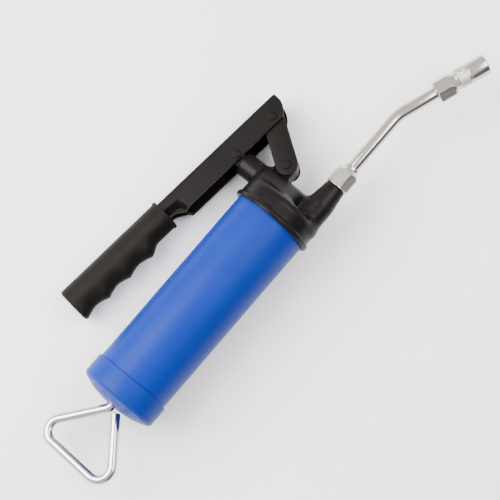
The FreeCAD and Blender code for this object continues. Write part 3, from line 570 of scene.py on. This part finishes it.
def head_distance(x, y, z, blend):
    """Distance to the head casting: a skirt with a rim, a roofed housing whose two slopes are planes in
    x and |z|, the pump cylinder across it, the spout boss and the lug, run together by cast fillets, less
    the bores and the room that the links swing in."""
    from_axis, from_pump = np.hypot(y, z), np.hypot(x - PUMP_ALONG, z)
    from_boss = np.hypot(y - BOSS_ACROSS, z)

    inside, skirt_end, skirt_round, skirt_radius = -20, 19.0, 6.5, TUBE_RADIUS + SHELL
    rim_rise, rim_end, rim_round = 3.4, 4.2, 1.3
    skirt = rod_distance(from_axis, x, skirt_radius, HEAD_GAP + inside, skirt_end, skirt_round)
    rim = rod_distance(from_axis, x, TUBE_RADIUS + rim_rise, HEAD_GAP, rim_end, rim_round)

    roof_x, roof_z, roof_height = 0.7475, 0.664, 30.2
    housing_end, housing_middle, housing_half = 32.3, 10.5, 21.5
    housing = roof_x * x + roof_z * np.abs(z) - roof_height
    for past_side, edge in ((skirt_radius - from_axis, 6.0), (housing_end - x, 3.0),
                            (housing_half - np.abs(y - housing_middle), 9.0)):
        housing = smooth_cut(housing, past_side, edge)

    pump_radius, pump_floor, pump_top, pump_round = 9.3, -16.0, 46.0, 1.5
    pump = rod_distance(from_pump, y, pump_radius, pump_floor, pump_top, pump_round)
    boss_start, taper_start, boss_radius, boss_flare, boss_round = 12, 34, 8, 2.4, 1.3
    taper = np.clip((x - taper_start) / (BOSS_END - taper_start), 0, 1)
    from_wall = from_boss - boss_flare * (1 - taper)
    boss = rod_distance(from_wall, x, boss_radius, boss_start, BOSS_END, boss_round)
    lug_radius, lug_half, lug_edge = 7.8, 6.8, 1.4
    lug = stadium_distance(x, y, np.array([PUMP_ALONG, LINK_PIVOT[1]]), LINK_PIVOT[:2], lug_radius)
    lug = smooth_cut(lug, lug_half - np.abs(z), lug_edge)

    rim_blend, boss_blend = 1.0, 1.6 * blend
    body = smooth_union(smooth_union(skirt, rim, rim_blend), housing, blend)
    body = smooth_union(body, smooth_union(pump, lug, blend), blend)
    body = smooth_union(body, boss, boss_blend)
    body = np.maximum(body, HEAD_GAP - x)

    link_inner, link_outer, swing_radius, swing_edge = 6.85, 12, 9.1, 0.6
    swing = stadium_distance(x, y, LINK_PIVOT[:2], LEVER_PIVOT[:2], swing_radius)
    swing = np.maximum(swing, np.maximum(link_inner - np.abs(z), np.abs(z) - link_outer))
    body = smooth_cut(body, swing, swing_edge)

    tube_stop, plunger_hole, packing_hole, packing_floor = 12.5, 4.05, 6.5, 37.5
    outside, sharp, bore_edge = 60, 0.1, 0.5
    for tool in (
            rod_distance(from_axis, x, TUBE_RADIUS + THREAD_GAP, inside, tube_stop, sharp),
            rod_distance(from_pump, y, plunger_hole, inside, outside, sharp),
            rod_distance(from_pump, y, packing_hole, packing_floor, outside, sharp),
            rod_distance(from_boss, x, PIPE_HOLE, PIPE_START, outside + 10, sharp),
            np.hypot(x - LINK_PIVOT[0], y - LINK_PIVOT[1]) - PIN_RADIUS):
        body = smooth_cut(body, tool, bore_edge)
    return body


class GREASEGUN_OT_head(bpy.types.Operator):
    """Build the head casting as one surface, where its bodies run together with cast fillets"""
    bl_idname = "greasegun.head"
    bl_label = "Head casting"

    def execute(self, context):
        blend = context.scene.grease_gun_sizes.cast_fillet / MM
        pitch, band = 0.56, 2.0
        low, high = np.array([-2.0, -36.0, -36.0]), np.array([BOSS_END + 2, 48.0, 36.0])
        axes = [np.arange(start, end, pitch) for start, end in zip(low, high)]
        field = head_distance(*np.meshgrid(*axes, indexing="ij", sparse=True), blend)
        grid = openvdb.FloatGrid(background=band)
        grid.copyFromArray(np.clip(field, -band, band).astype(np.float32))
        points, _, quads = grid.convertToPolygons(isovalue=0.0, adaptivity=0.0)
        if not len(quads):
            raise RuntimeError("the head casting has no surface")
        points = on_surface(points * pitch + low, blend)
        new_piece("head_casting", points, quads[:, ::-1], "head", crease=48)
        return {"FINISHED"}


def on_surface(points, blend, step=0.02, rounds=3, reach=0.3):
    """Points moved onto the zero of the head's distance by Newton steps along its slope."""
    for _ in range(rounds):
        value = head_distance(*points.T, blend)
        slope = []
        for shift in np.eye(3) * step:
            ahead, behind = (head_distance(*place.T, blend) for place in (points + shift, points - shift))
            slope.append((ahead - behind) / (2 * step))
        slope = np.stack(slope, -1)
        steepness = np.maximum((slope * slope).sum(1), 0.25)
        points = points - np.clip(slope * (value / steepness)[:, None], -reach, reach)
    return points


# ---- spout and coupler

def hexagon_outline(flats, corner, side_steps=6):
    """A hexagon of a given width across flats as (angle, radius) pairs, its corners rounded."""
    reach = flats / 2 / math.cos(math.pi / 6)
    angles = np.arange(6) * math.pi / 3
    corners = [(reach * math.cos(angle), reach * math.sin(angle), corner) for angle in angles]
    line = rounded(corners, steps=4)
    following = np.roll(line, -1, axis=0)
    share = np.linspace(0, 1, side_steps, endpoint=False)
    long_side = np.linalg.norm(following - line, axis=1) > 1
    pieces = [start + (end - start) * share[:, None] if is_long else start[None]
              for start, end, is_long in zip(line, following, long_side)]
    dense = np.vstack(pieces)
    return np.arctan2(dense[:, 1], dense[:, 0]), np.hypot(dense[:, 0], dense[:, 1])


def hexagon_bar(length, flats, crown, crown_radius, hole, corner=0.35, back_break=0.5):
    """A hexagonal bar along X. At each angle the wall runs from a broken back edge to where it meets
    the crown's cone, which falls from the corner radius to the crown radius at the front."""
    angle, radius = hexagon_outline(flats, corner)
    reach = radius.max()
    front = length - crown * (radius - crown_radius) / (reach - crown_radius)
    back = np.clip((radius - (flats / 2 - 0.1)) * 0.6, 0, back_break)
    cone = np.linspace(0, 1, 5)
    wall = np.linspace(0, 1, 8)
    rows_x = [np.zeros_like(radius), np.zeros_like(radius)]
    rows_r = [np.full_like(radius, hole), radius - back_break]
    rows_x += [back + back_break * 0.3 + (front - back - back_break * 0.3) * share for share in wall]
    rows_r += [radius for share in wall]
    rows_x += [front + (length - front) * share for share in cone[1:]]
    rows_r += [radius + (crown_radius - radius) * share for share in cone[1:]]
    rows_x += [np.full_like(radius, length)]
    rows_r += [np.full_like(radius, hole)]
    along, wide = np.array(rows_x), np.array(rows_r)
    points = np.stack([along, wide * np.cos(angle), wide * np.sin(angle)], -1)
    return points, grid_faces(len(along), len(angle), round_rows=True)


def joined(*shapes):
    """Several (points, faces) shapes as one."""
    points, faces, count = [], [], 0
    for shape_points, shape_faces in shapes:
        flat = shape_points.reshape(-1, 3)
        points.append(flat)
        faces.append(shape_faces + count)
        count += len(flat)
    return np.vstack(points), np.vstack(faces)


class GREASEGUN_OT_spout(bpy.types.Operator):
    """Build the spout: sealing washer, gland nut with its collar, and the bent pipe"""
    bl_idname = "greasegun.spout"
    bl_label = "Spout"

    def execute(self, context):
        outer, thickness, edge = 8.9, 1.0, 0.3
        washer = rounded([(0, PIPE_HOLE), (0, outer, edge), (thickness, outer, edge),
                          (thickness, PIPE_HOLE)], closed=True)
        points, faces = turned(washer, 72, (BOSS_END, BOSS_ACROSS, 0))
        new_piece("spout_sealing_washer", points, faces, "spout_washer")

        length, shoulder, shoulder_run, collar, collar_run = 15.2, 6.9, 1.1, 6.3, 3.4
        hexagon = hexagon_bar(length, flats=16.4, crown=3.4, crown_radius=7.0, hole=PIPE_HOLE)
        neck = rounded([
            (length - 1, PIPE_HOLE), (length - 1, shoulder), (length, shoulder, 0.5),
            (length + shoulder_run, collar, 0.5), (length + collar_run, collar, 0.8),
            (length + collar_run, PIPE_HOLE)], closed=True)
        points, faces = joined(hexagon, turned(neck, 72))
        points = moved(points, (BOSS_END + thickness, BOSS_ACROSS, 0), 0)
        new_piece("spout_gland_nut", points, faces, "spout_nut", crease=28)

        points, faces = bent_wire(PIPE_ROUTE, PIPE_RADIUS, 0.6, around=48, bend_steps=24)
        new_piece("spout_bent_pipe", points, faces, "spout_pipe")
        return {"FINISHED"}


def knurled_band(start, end, radius, depth, pitch, around_teeth, steps=6):
    """A band with a diamond knurl: radius - depth (1 - |sin u| |sin v|), where u and v grow along the two
    crossing helices, and the depth fades out at the band's two ends."""
    rows = int((end - start) / pitch * steps)
    along = np.linspace(start, end, rows)[:, None]
    angle = np.linspace(0, FULL, around_teeth * steps, endpoint=False)[None]
    twist = math.pi * along / pitch
    ridge = np.minimum(np.abs(np.sin(angle * around_teeth / 2 + twist)),
                       np.abs(np.sin(angle * around_teeth / 2 - twist)))
    fade_run, end_drop = 0.5, 0.15
    fade = smooth_step((along - start) / fade_run) * smooth_step((end - along) / fade_run)
    wide = radius - depth * (1 - ridge) * fade - end_drop * (1 - fade)
    points = np.stack([along + 0 * angle, wide * np.cos(angle), wide * np.sin(angle)], -1)
    return points, grid_faces(rows, around_teeth * steps)


class GREASEGUN_OT_coupler(bpy.types.Operator):
    """Build the coupler: hexagon, plain neck, knurled barrel and smooth front sleeve round the jaws"""
    bl_idname = "greasegun.coupler"
    bl_label = "Coupler"

    def execute(self, context):
        sizes = context.scene.grease_gun_sizes
        hexagon_end, body_end, radius = 16.5, 28.3, 7.9
        shoulder, neck, end_drop, tail_radius = 6.9, 7.3, 0.15, 7.6
        knurl_start, knurl_end = hexagon_end + 2.6, body_end - 0.6
        hexagon = hexagon_bar(hexagon_end, flats=16.3, crown=4.4, crown_radius=7.0, hole=PIPE_HOLE)
        front = rounded([
            (hexagon_end - 1, PIPE_HOLE), (hexagon_end - 1, shoulder), (hexagon_end + 0.6, shoulder, 0.2),
            (hexagon_end + 1.1, neck, 0.3), (knurl_start - 0.5, neck, 0.2),
            (knurl_start, radius - end_drop)], steps=4)
        tail = rounded([(knurl_end, radius - end_drop), (body_end, tail_radius, 0.2),
                        (body_end, PIPE_HOLE)], steps=4)
        bore = np.array([(body_end, PIPE_HOLE), (hexagon_end - 1, PIPE_HOLE)])
        pitch, steps = sizes.knurl_pitch / MM, 6
        teeth = int(FULL * radius / pitch)
        knurl = knurled_band(knurl_start, knurl_end, radius, sizes.knurl_depth / MM, pitch, teeth, steps)
        around = teeth * steps
        points, faces = joined(hexagon, turned(front, around), knurl, turned(tail, around),
                               turned(bore, around))
        points = moved(points, COUPLER_BASE, PIPE_ANGLE)
        new_piece("coupler_knurled_body", points, faces, "coupler_body", crease=30)

        start, end, outer = body_end + 0.02, body_end + 15.5, 8.1
        socket, well, mouth, well_start = 5.83, 6.2, 4.3, body_end + 4
        sleeve = rounded([
            (start, socket), (well_start, socket), (well_start, well), (end - 3, well),
            (end - 0.8, mouth, 0.2), (end, mouth, 0.2), (end, outer, 1.5), (start, outer, 0.5)],
            closed=True)
        points, faces = turned(sleeve, 96, COUPLER_BASE, PIPE_ANGLE)
        new_piece("coupler_front_sleeve", points, faces, "coupler_sleeve", crease=40)
        return {"FINISHED"}


# ---- lever, grip, links and pins

LEVER_TILT = -5.66
LEVER_TOP, LEVER_BOTTOM, LEVER_HALF = 12.7, -6.4, 12.0
NECK_START, NECK_END = -92.0, -109.5


def corner_cut(depth, radius):
    """How far a rounded corner stands back at a depth into it: r - sqrt(r^2 - d^2) for d from 0 to r."""
    return radius - np.sqrt(np.clip(radius ** 2 - np.clip(depth, 0, radius) ** 2, 0, None))


def lever_tip(height):
    """How far the lever's side reaches at each height: a belly 13.3 - 7.8 s^1.8, where s is the way down
    from 5.8 as a share of 12.8, less a rounded corner at the top and a smaller one at the foot."""
    reach, fall, power, belly_top, belly_height = 13.3, 7.8, 1.8, 5.8, 12.8
    top_corner, foot_corner = 2.5, 1.5
    belly = reach - fall * (np.clip(belly_top - height, 0, None) / belly_height) ** power
    top = corner_cut(height - LEVER_TOP + top_corner, top_corner)
    foot = corner_cut(LEVER_BOTTOM + foot_corner - height, foot_corner)
    return belly - top - foot


def lever_section(fold, side_rows=36, fold_rows=8, back_rows=11):
    """The channel's section as (height, across): two upright sides, two quarter-round folds and the back,
    which are LEVER_HALF (or half - r + r cos a) across at bottom + share (or top - r + r sin a)."""
    quarter = np.linspace(0, math.pi / 2, fold_rows + 1)[1:]
    side = LEVER_BOTTOM + (LEVER_TOP - fold - LEVER_BOTTOM) * np.linspace(0, 1, side_rows)
    height = np.concatenate([side, LEVER_TOP - fold + fold * np.sin(quarter)])
    across = np.concatenate([np.full(side_rows, LEVER_HALF), LEVER_HALF - fold + fold * np.cos(quarter)])
    back = np.linspace(LEVER_HALF - fold, fold - LEVER_HALF, back_rows + 2)[1:-1]
    return (np.concatenate([height, np.full(back_rows, LEVER_TOP), height[::-1]])[None],
            np.concatenate([across, back, -across[::-1]])[None])


def lever_surface(fold):
    """The lever's outside: its section carried from the neck's end to lever_tip. From the neck's start
    back, a side rises by 6 times a smooth step 14 long times its share of the way down from the fold, and
    what is then under a crease is pressed in by 1.6 times its depth there, 6.5 at most."""
    raise_by, raise_run, press_slope, press_run, press_most = 6.0, 14, 1.6, 7, 6.5
    crease_height, crease_climb = 3.4, 0.1
    spans = ((0, 0.16, 56), (0.16, 0.86, 60), (0.86, 1, 34))
    shares = np.unique(np.concatenate([np.linspace(*span) for span in spans]))[:, None]
    section_height, section_across = lever_section(fold)
    along = NECK_END + shares * (lever_tip(section_height) - NECK_END)
    behind = NECK_START - along
    side_top = LEVER_TOP - fold
    down = np.clip((side_top - section_height) / (side_top - LEVER_BOTTOM), 0, 1)
    height = section_height + raise_by * smooth_step(behind / raise_run) * down
    under = crease_height + behind * crease_climb - height
    pressed = np.clip(under * smooth_step(behind / press_run) * press_slope, 0, press_most)
    across = np.sign(section_across) * (np.abs(section_across) - pressed)
    return np.stack([along, height, across], -1), grid_faces(*along.shape, round_columns=False)


class GREASEGUN_OT_lever(bpy.types.Operator):
    """Build the lever: sheet steel folded to a channel, slanted at its tip and pressed in at the neck"""
    bl_idname = "greasegun.lever"
    bl_label = "Lever"

    def execute(self, context):
        sizes = context.scene.grease_gun_sizes
        points, faces = lever_surface(sizes.fold_radius / MM)
        points = moved(points, LEVER_PIVOT, LEVER_TILT)
        new_piece("lever_channel", points, faces, "lever", solidify=sizes.sheet / MM, bevel=0.35)
        return {"FINISHED"}


def grip_surface(depth):
    """The grip: an outline turned about its axis and stretched upright to an oval, less its hollows. A
    hollow is depth (1 - d^1.5), with d the distance from its middle as a share of half a pitch, and past
    the last peak 1.55 depth times a smooth step 11 long. It grows in over the first 4 mm, is full within
    28 degrees of straight down and ends at 80 degrees."""
    radius, half_height, length, end_round = 12.2, 14.4, 98.0, 1.9
    lip, lip_length, lip_run = 0.7, 2.6, 1.2
    pitch, last_peak, power, last_depth, last_run = 21.9, 68.2, 1.5, 1.55, 11
    grow_from, grow_run, wrap_end, wrap_run = -2, 6, 80, 52
    rows, around = 220, 144
    shaft_end = length - lip_length - lip_run
    outline = rounded([
        (0, 0), (0, radius, end_round), (length - lip_length - 0.3, radius, 0.4),
        (length - lip_length, radius + lip, 0.6), (length, radius + lip, 0.8), (length, 5)])
    round_rows = int(np.argmax(outline[:, 0] > end_round - 0.01)) + 1
    shaft = np.stack([np.linspace(end_round, shaft_end, rows), np.full(rows, radius)], -1)[1:-1]
    collar = outline[outline[:, 0] >= shaft_end]
    profile = np.vstack([outline[:round_rows], shaft, collar, [(length, 0.0)]])
    angle = np.linspace(0, FULL, around, endpoint=False)[None]
    along, wide = profile[:, :1], profile[:, 1:]
    up, side = wide * np.sin(angle) * half_height / radius, wide * np.cos(angle)
    share = np.abs(np.mod(along - last_peak, pitch) / pitch - 0.5) * 2
    hollow = np.where(along > last_peak, last_depth * smooth_step((along - last_peak) / last_run),
                      1 - share ** power)
    hollow = depth * hollow * smooth_step((along - grow_from) / grow_run)
    below = np.abs(np.degrees(np.arctan2(side, -up)))
    hollow = hollow * smooth_step((wrap_end - below) / wrap_run)
    inwards = (wide - np.minimum(hollow, wide)) / np.maximum(wide, 0.001)
    points = np.stack([along + 0 * angle, up * inwards, side * inwards], -1)
    return points, grid_faces(len(profile), around)


class GREASEGUN_OT_grip(bpy.types.Operator):
    """Build the moulded grip: an oval bar with finger hollows, a rounded end and a collar"""
    bl_idname = "greasegun.grip"
    bl_label = "Grip"

    def execute(self, context):
        start, tilt = (-142.0, 73.0, 0), -5.5
        points, faces = grip_surface(context.scene.grease_gun_sizes.finger_depth / MM)
        points = moved(points, start, tilt)
        new_piece("grip_moulding", points, faces, "lever_grip")
        return {"FINISHED"}


class GREASEGUN_OT_links(bpy.types.Operator):
    """Build the two links: flat bars with full-round ends and softened edges"""
    bl_idname = "greasegun.links"
    bl_label = "Links"

    def execute(self, context):
        half, thick, inner, edge = 8.3, 2.5, 7.15, 0.55
        way = (LEVER_PIVOT - LINK_PIVOT)[:2]
        span, tilt = np.linalg.norm(way), math.degrees(math.atan2(way[1], way[0]))
        cap = np.linspace(-math.pi / 2, math.pi / 2, 33)
        spine = np.repeat([span, 0.0], len(cap))
        turn = np.concatenate([cap, cap + math.pi])
        profile = rounded([(0, 0), (0, half, edge), (thick, half, edge), (thick, 0)], steps=5)
        level, reach = profile[:, :1], profile[:, 1:]
        outline_x = spine + reach * np.cos(turn)
        outline_y = reach * np.sin(turn)
        for name, node, start in (("link_near_bar", "link_near", inner),
                                  ("link_far_bar", "link_far", -inner - thick)):
            points = np.stack([outline_x, outline_y, start + level + 0 * turn], -1)
            points = moved(points, (LINK_PIVOT[0], LINK_PIVOT[1], 0), tilt)
            faces = grid_faces(len(profile), len(turn))
            new_piece(name, points, faces, node)
        return {"FINISHED"}


class GREASEGUN_OT_pins(bpy.types.Operator):
    """Build the three rivets: a round pin with a low domed head at each end"""
    bl_idname = "greasegun.pins"
    bl_label = "Pins"

    def execute(self, context):
        link_face, rise, head, lip = 9.75, 1.0, 3.7, 0.3
        crown_share, crown_round = 0.8, 1.4
        for name, node, face, centre in (
                ("lug_rivet", "lug_pin", link_face, LINK_PIVOT[:2]),
                ("lever_rivet", "lever_pin", LEVER_HALF, LEVER_PIVOT[:2]),
                ("plunger_rivet", "plunger_pin", LEVER_HALF, (PUMP_ALONG, PLUNGER_PIN_ACROSS))):
            half = rounded([
                (face + rise, 0), (face + rise, head * crown_share, crown_round), (face + lip, head, lip),
                (face, head), (face, PIN_RADIUS)], steps=6)
            profile = np.vstack([half, half[::-1] * [-1, 1]])
            points, faces = turned(profile, 64)
            points = points[..., [1, 2, 0]] + np.array([*centre, 0.0])
            new_piece(name, points, faces, node, crease=40)
        return {"FINISHED"}


# ---- pull rod and the rest

class GREASEGUN_OT_pull_rod(bpy.types.Operator):
    """Build the pull rod: one wire, straight through the barrel and bent into a triangular handle"""
    bl_idname = "greasegun.pull_rod"
    bl_label = "Pull rod"

    def execute(self, context):
        wire, end_round = 3.7, 0.7
        # the wire's corners as (behind the cap's seam, across, bend radius)
        corners = ((25.5, 0.0, 8.0), (71.2, 36.6, 10.0), (74.1, -44.0, 10.0), (26.2, -6.4, 0.0))
        route = [(1.0, 0.0)] + [(CAP_SEAM - behind, across, bend) for behind, across, bend in corners]
        points, faces = bent_wire(route, wire, end_round, around=48, bend_steps=22)
        new_piece("pull_rod_wire", points, faces, "pull_rod")
        return {"FINISHED"}


SPRINGS = (("follower_coil", "follower_spring", "rod_pull"), ("check_coil", "check_spring", "ball_lift"),
           ("coupler_coil", "coupler_spring", "jaw_push"))


class GREASEGUN_OT_springs(bpy.types.Operator):
    """Build the three springs from their CAD shapes, and stop with an error where one is shorter than its
    joint's travel
    """
    bl_idname = "greasegun.springs"
    bl_label = "Springs"

    def execute(self, context):
        for name, node, joint in SPRINGS:
            source = frame["nodes"][node]
            mesh = source.data
            count = len(mesh.vertices)
            flat = np.empty(count * 3)
            mesh.vertices.foreach_get("co", flat)
            turn = np.array(source.matrix_world)
            points = (flat.reshape(-1, 3) @ turn[:3, :3].T + turn[:3, 3]) / MM
            corners = np.empty(len(mesh.loops), int)
            mesh.loops.foreach_get("vertex_index", corners)
            points = (points - GUN_ORIGIN) @ GUN_AXES.T
            spring = new_piece(name, points, corners.reshape(-1, 3), node)
            axis = np.array(JOINTS[joint]["axis"])
            reach = placed(points) @ axis
            start, length = reach.min(), reach.max() - reach.min()
            travel = max(JOINTS[joint]["range_m"])
            if travel >= length:
                raise RuntimeError(f"{name} is shorter than its travel")
            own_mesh(spring)
        return {"FINISHED"}


class GREASEGUN_OT_mechanism(bpy.types.Operator):
    """Give the plunger, follower, valve, jaws and seals their finishes; their shapes stay"""
    bl_idname = "greasegun.mechanism"
    bl_label = "Mechanism"

    def execute(self, context):
        for name, node in frame["nodes"].items():
            if node.hide_render:
                continue
            node.data.materials.clear()
            node.data.materials.append(finish_of(name))
        return {"FINISHED"}


# ---- stage

def matt_floor(colour):
    """Matt painted board: nearly white, with the faintest unevenness."""
    material, tree, shader, place = new_material("matt_board_pale")
    tree.links.new(tinted(tree, colour, place, 180, 0.008), shader.inputs["Base Color"])
    shader.inputs["Roughness"].default_value = 0.85
    return material


def studio_world():
    """A pale studio with a dark screen low on one side, which draws a dark line along bright metal: the
    brightness falls within a cone about the screen's direction."""
    screen_height, pale, dark, cone_start, cone_end = 0.42, 1.3, 0.25, 0.8, 0.95
    world = bpy.data.worlds.new("studio")
    world.use_nodes = True
    tree = world.node_tree
    direction = add_node(tree, "ShaderNodeTexCoord").outputs["Generated"]
    aside = Vector((0, -1, -0.3)) @ Matrix(GUN_AXES)
    screen = Vector((aside.x, aside.y, 0)).normalized() + Vector((0, 0, screen_height))
    nearness = add_node(tree, "ShaderNodeVectorMath", {0: direction, 1: screen.normalized()},
                        operation="DOT_PRODUCT").outputs["Value"]
    background = tree.nodes["Background"]
    tree.links.new(ranged(tree, nearness, pale, dark, cone_start, cone_end), background.inputs["Strength"])
    background.inputs["Color"].default_value = (*linear("FAFAFA"), 1)
    return world


# the lamps as (name, place, width and height in metres, power in watts), and what they face
LAMPS = (("key_light", (-420, 480, 1000), (1.0, 1.0), 46), ("fill_light", (500, -500, 900), (0.9, 0.5), 12))
LAMP_AIM = (-20, 0, 0)
FLOOR_REACH = 6.0
CAMERA_AT, CAMERA_AIM = np.array([-220.4, -495.5, 1658.1]), np.array([-25.28, -2.34, 0.0])
CAMERA_UP = np.array([0.7521, 0.6020, 0.2676])
CAMERA_SENSOR, CAMERA_LENS, CAMERA_FAR = 36, 168.66, 20


def soft_light(name, at, aim, width, height, power):
    """A large rectangular lamp that hangs at one point of the gun's frame and faces another."""
    lamp = bpy.data.lights.new(name, "AREA")
    lamp.shape = "RECTANGLE"
    lamp.size, lamp.size_y = width, height
    lamp.energy = power
    holder = bpy.data.objects.new(name, lamp)
    bpy.context.scene.collection.objects.link(holder)
    start, end = (Vector(placed(np.array(point, float))[0]) for point in (at, aim))
    holder.location = start
    holder.rotation_euler = (end - start).to_track_quat("-Z", "Y").to_euler()
    return holder


class GREASEGUN_OT_stage(bpy.types.Operator):
    """Set the floor, the soft lights and the camera"""
    bl_idname = "greasegun.stage"
    bl_label = "Stage"

    def execute(self, context):
        scene = context.scene
        mesh = bpy.data.meshes.new("floor")
        corners = [(x * FLOOR_REACH, y * FLOOR_REACH, 0) for x, y in ((-1, -1), (1, -1), (1, 1), (-1, 1))]
        mesh.from_pydata(corners, [], [(0, 1, 2, 3)])
        floor = bpy.data.objects.new("floor", mesh)
        scene.collection.objects.link(floor)
        mesh.materials.append(matt_floor(scene.grease_gun_colours.floor))
        scene.world = studio_world()
        for name, place, size, power in LAMPS:
            soft_light(name, place, LAMP_AIM, *size, power)
        data = bpy.data.cameras.new("camera")
        data.sensor_width, data.lens, data.clip_end = CAMERA_SENSOR, CAMERA_LENS, CAMERA_FAR
        camera = bpy.data.objects.new("camera", data)
        scene.collection.objects.link(camera)
        back = Vector((CAMERA_AT - CAMERA_AIM) @ GUN_AXES).normalized()
        side = Vector(CAMERA_UP @ GUN_AXES).cross(back).normalized()
        turn = Matrix((side, back.cross(side), back)).transposed()
        camera.matrix_world = Matrix.Translation(Vector(placed(CAMERA_AT)[0])) @ turn.to_4x4()
        scene.camera = camera
        return {"FINISHED"}


# ---- panel and registration

OPERATORS = (
    GREASEGUN_OT_barrel, GREASEGUN_OT_end_cap, GREASEGUN_OT_head, GREASEGUN_OT_spout,
    GREASEGUN_OT_coupler, GREASEGUN_OT_lever, GREASEGUN_OT_grip, GREASEGUN_OT_links, GREASEGUN_OT_pins,
    GREASEGUN_OT_pull_rod, GREASEGUN_OT_springs, GREASEGUN_OT_mechanism,
    GREASEGUN_OT_stage)


class GREASEGUN_PT_panel(bpy.types.Panel):
    """The grease gun's pieces, sizes and colours"""
    bl_idname = "GREASEGUN_PT_panel"
    bl_label = "Grease gun"
    bl_space_type = "VIEW_3D"
    bl_region_type = "UI"
    bl_category = "Grease gun"

    def draw(self, context):
        for group in (context.scene.grease_gun_sizes, context.scene.grease_gun_colours):
            for name in group.__annotations__:
                self.layout.prop(group, name)
        for operator in OPERATORS:
            self.layout.operator(operator.bl_idname)


CLASSES = (GreaseGunSizes, GreaseGunColours, *OPERATORS, GREASEGUN_PT_panel)


def register():
    """Register the classes and hang the sizes and colours on the scene."""
    for item in CLASSES:
        bpy.utils.register_class(item)
    bpy.types.Scene.grease_gun_sizes = PointerProperty(type=GreaseGunSizes)
    bpy.types.Scene.grease_gun_colours = PointerProperty(type=GreaseGunColours)


def unregister():
    """Undo register."""
    del bpy.types.Scene.grease_gun_colours
    del bpy.types.Scene.grease_gun_sizes
    for item in reversed(CLASSES):
        bpy.utils.unregister_class(item)


def main():
    """Build every piece and the stage."""
    register()
    for operator in OPERATORS:
        getattr(bpy.ops.greasegun, operator.bl_idname.split(".")[1])()


if __name__ == "__main__":
    main()
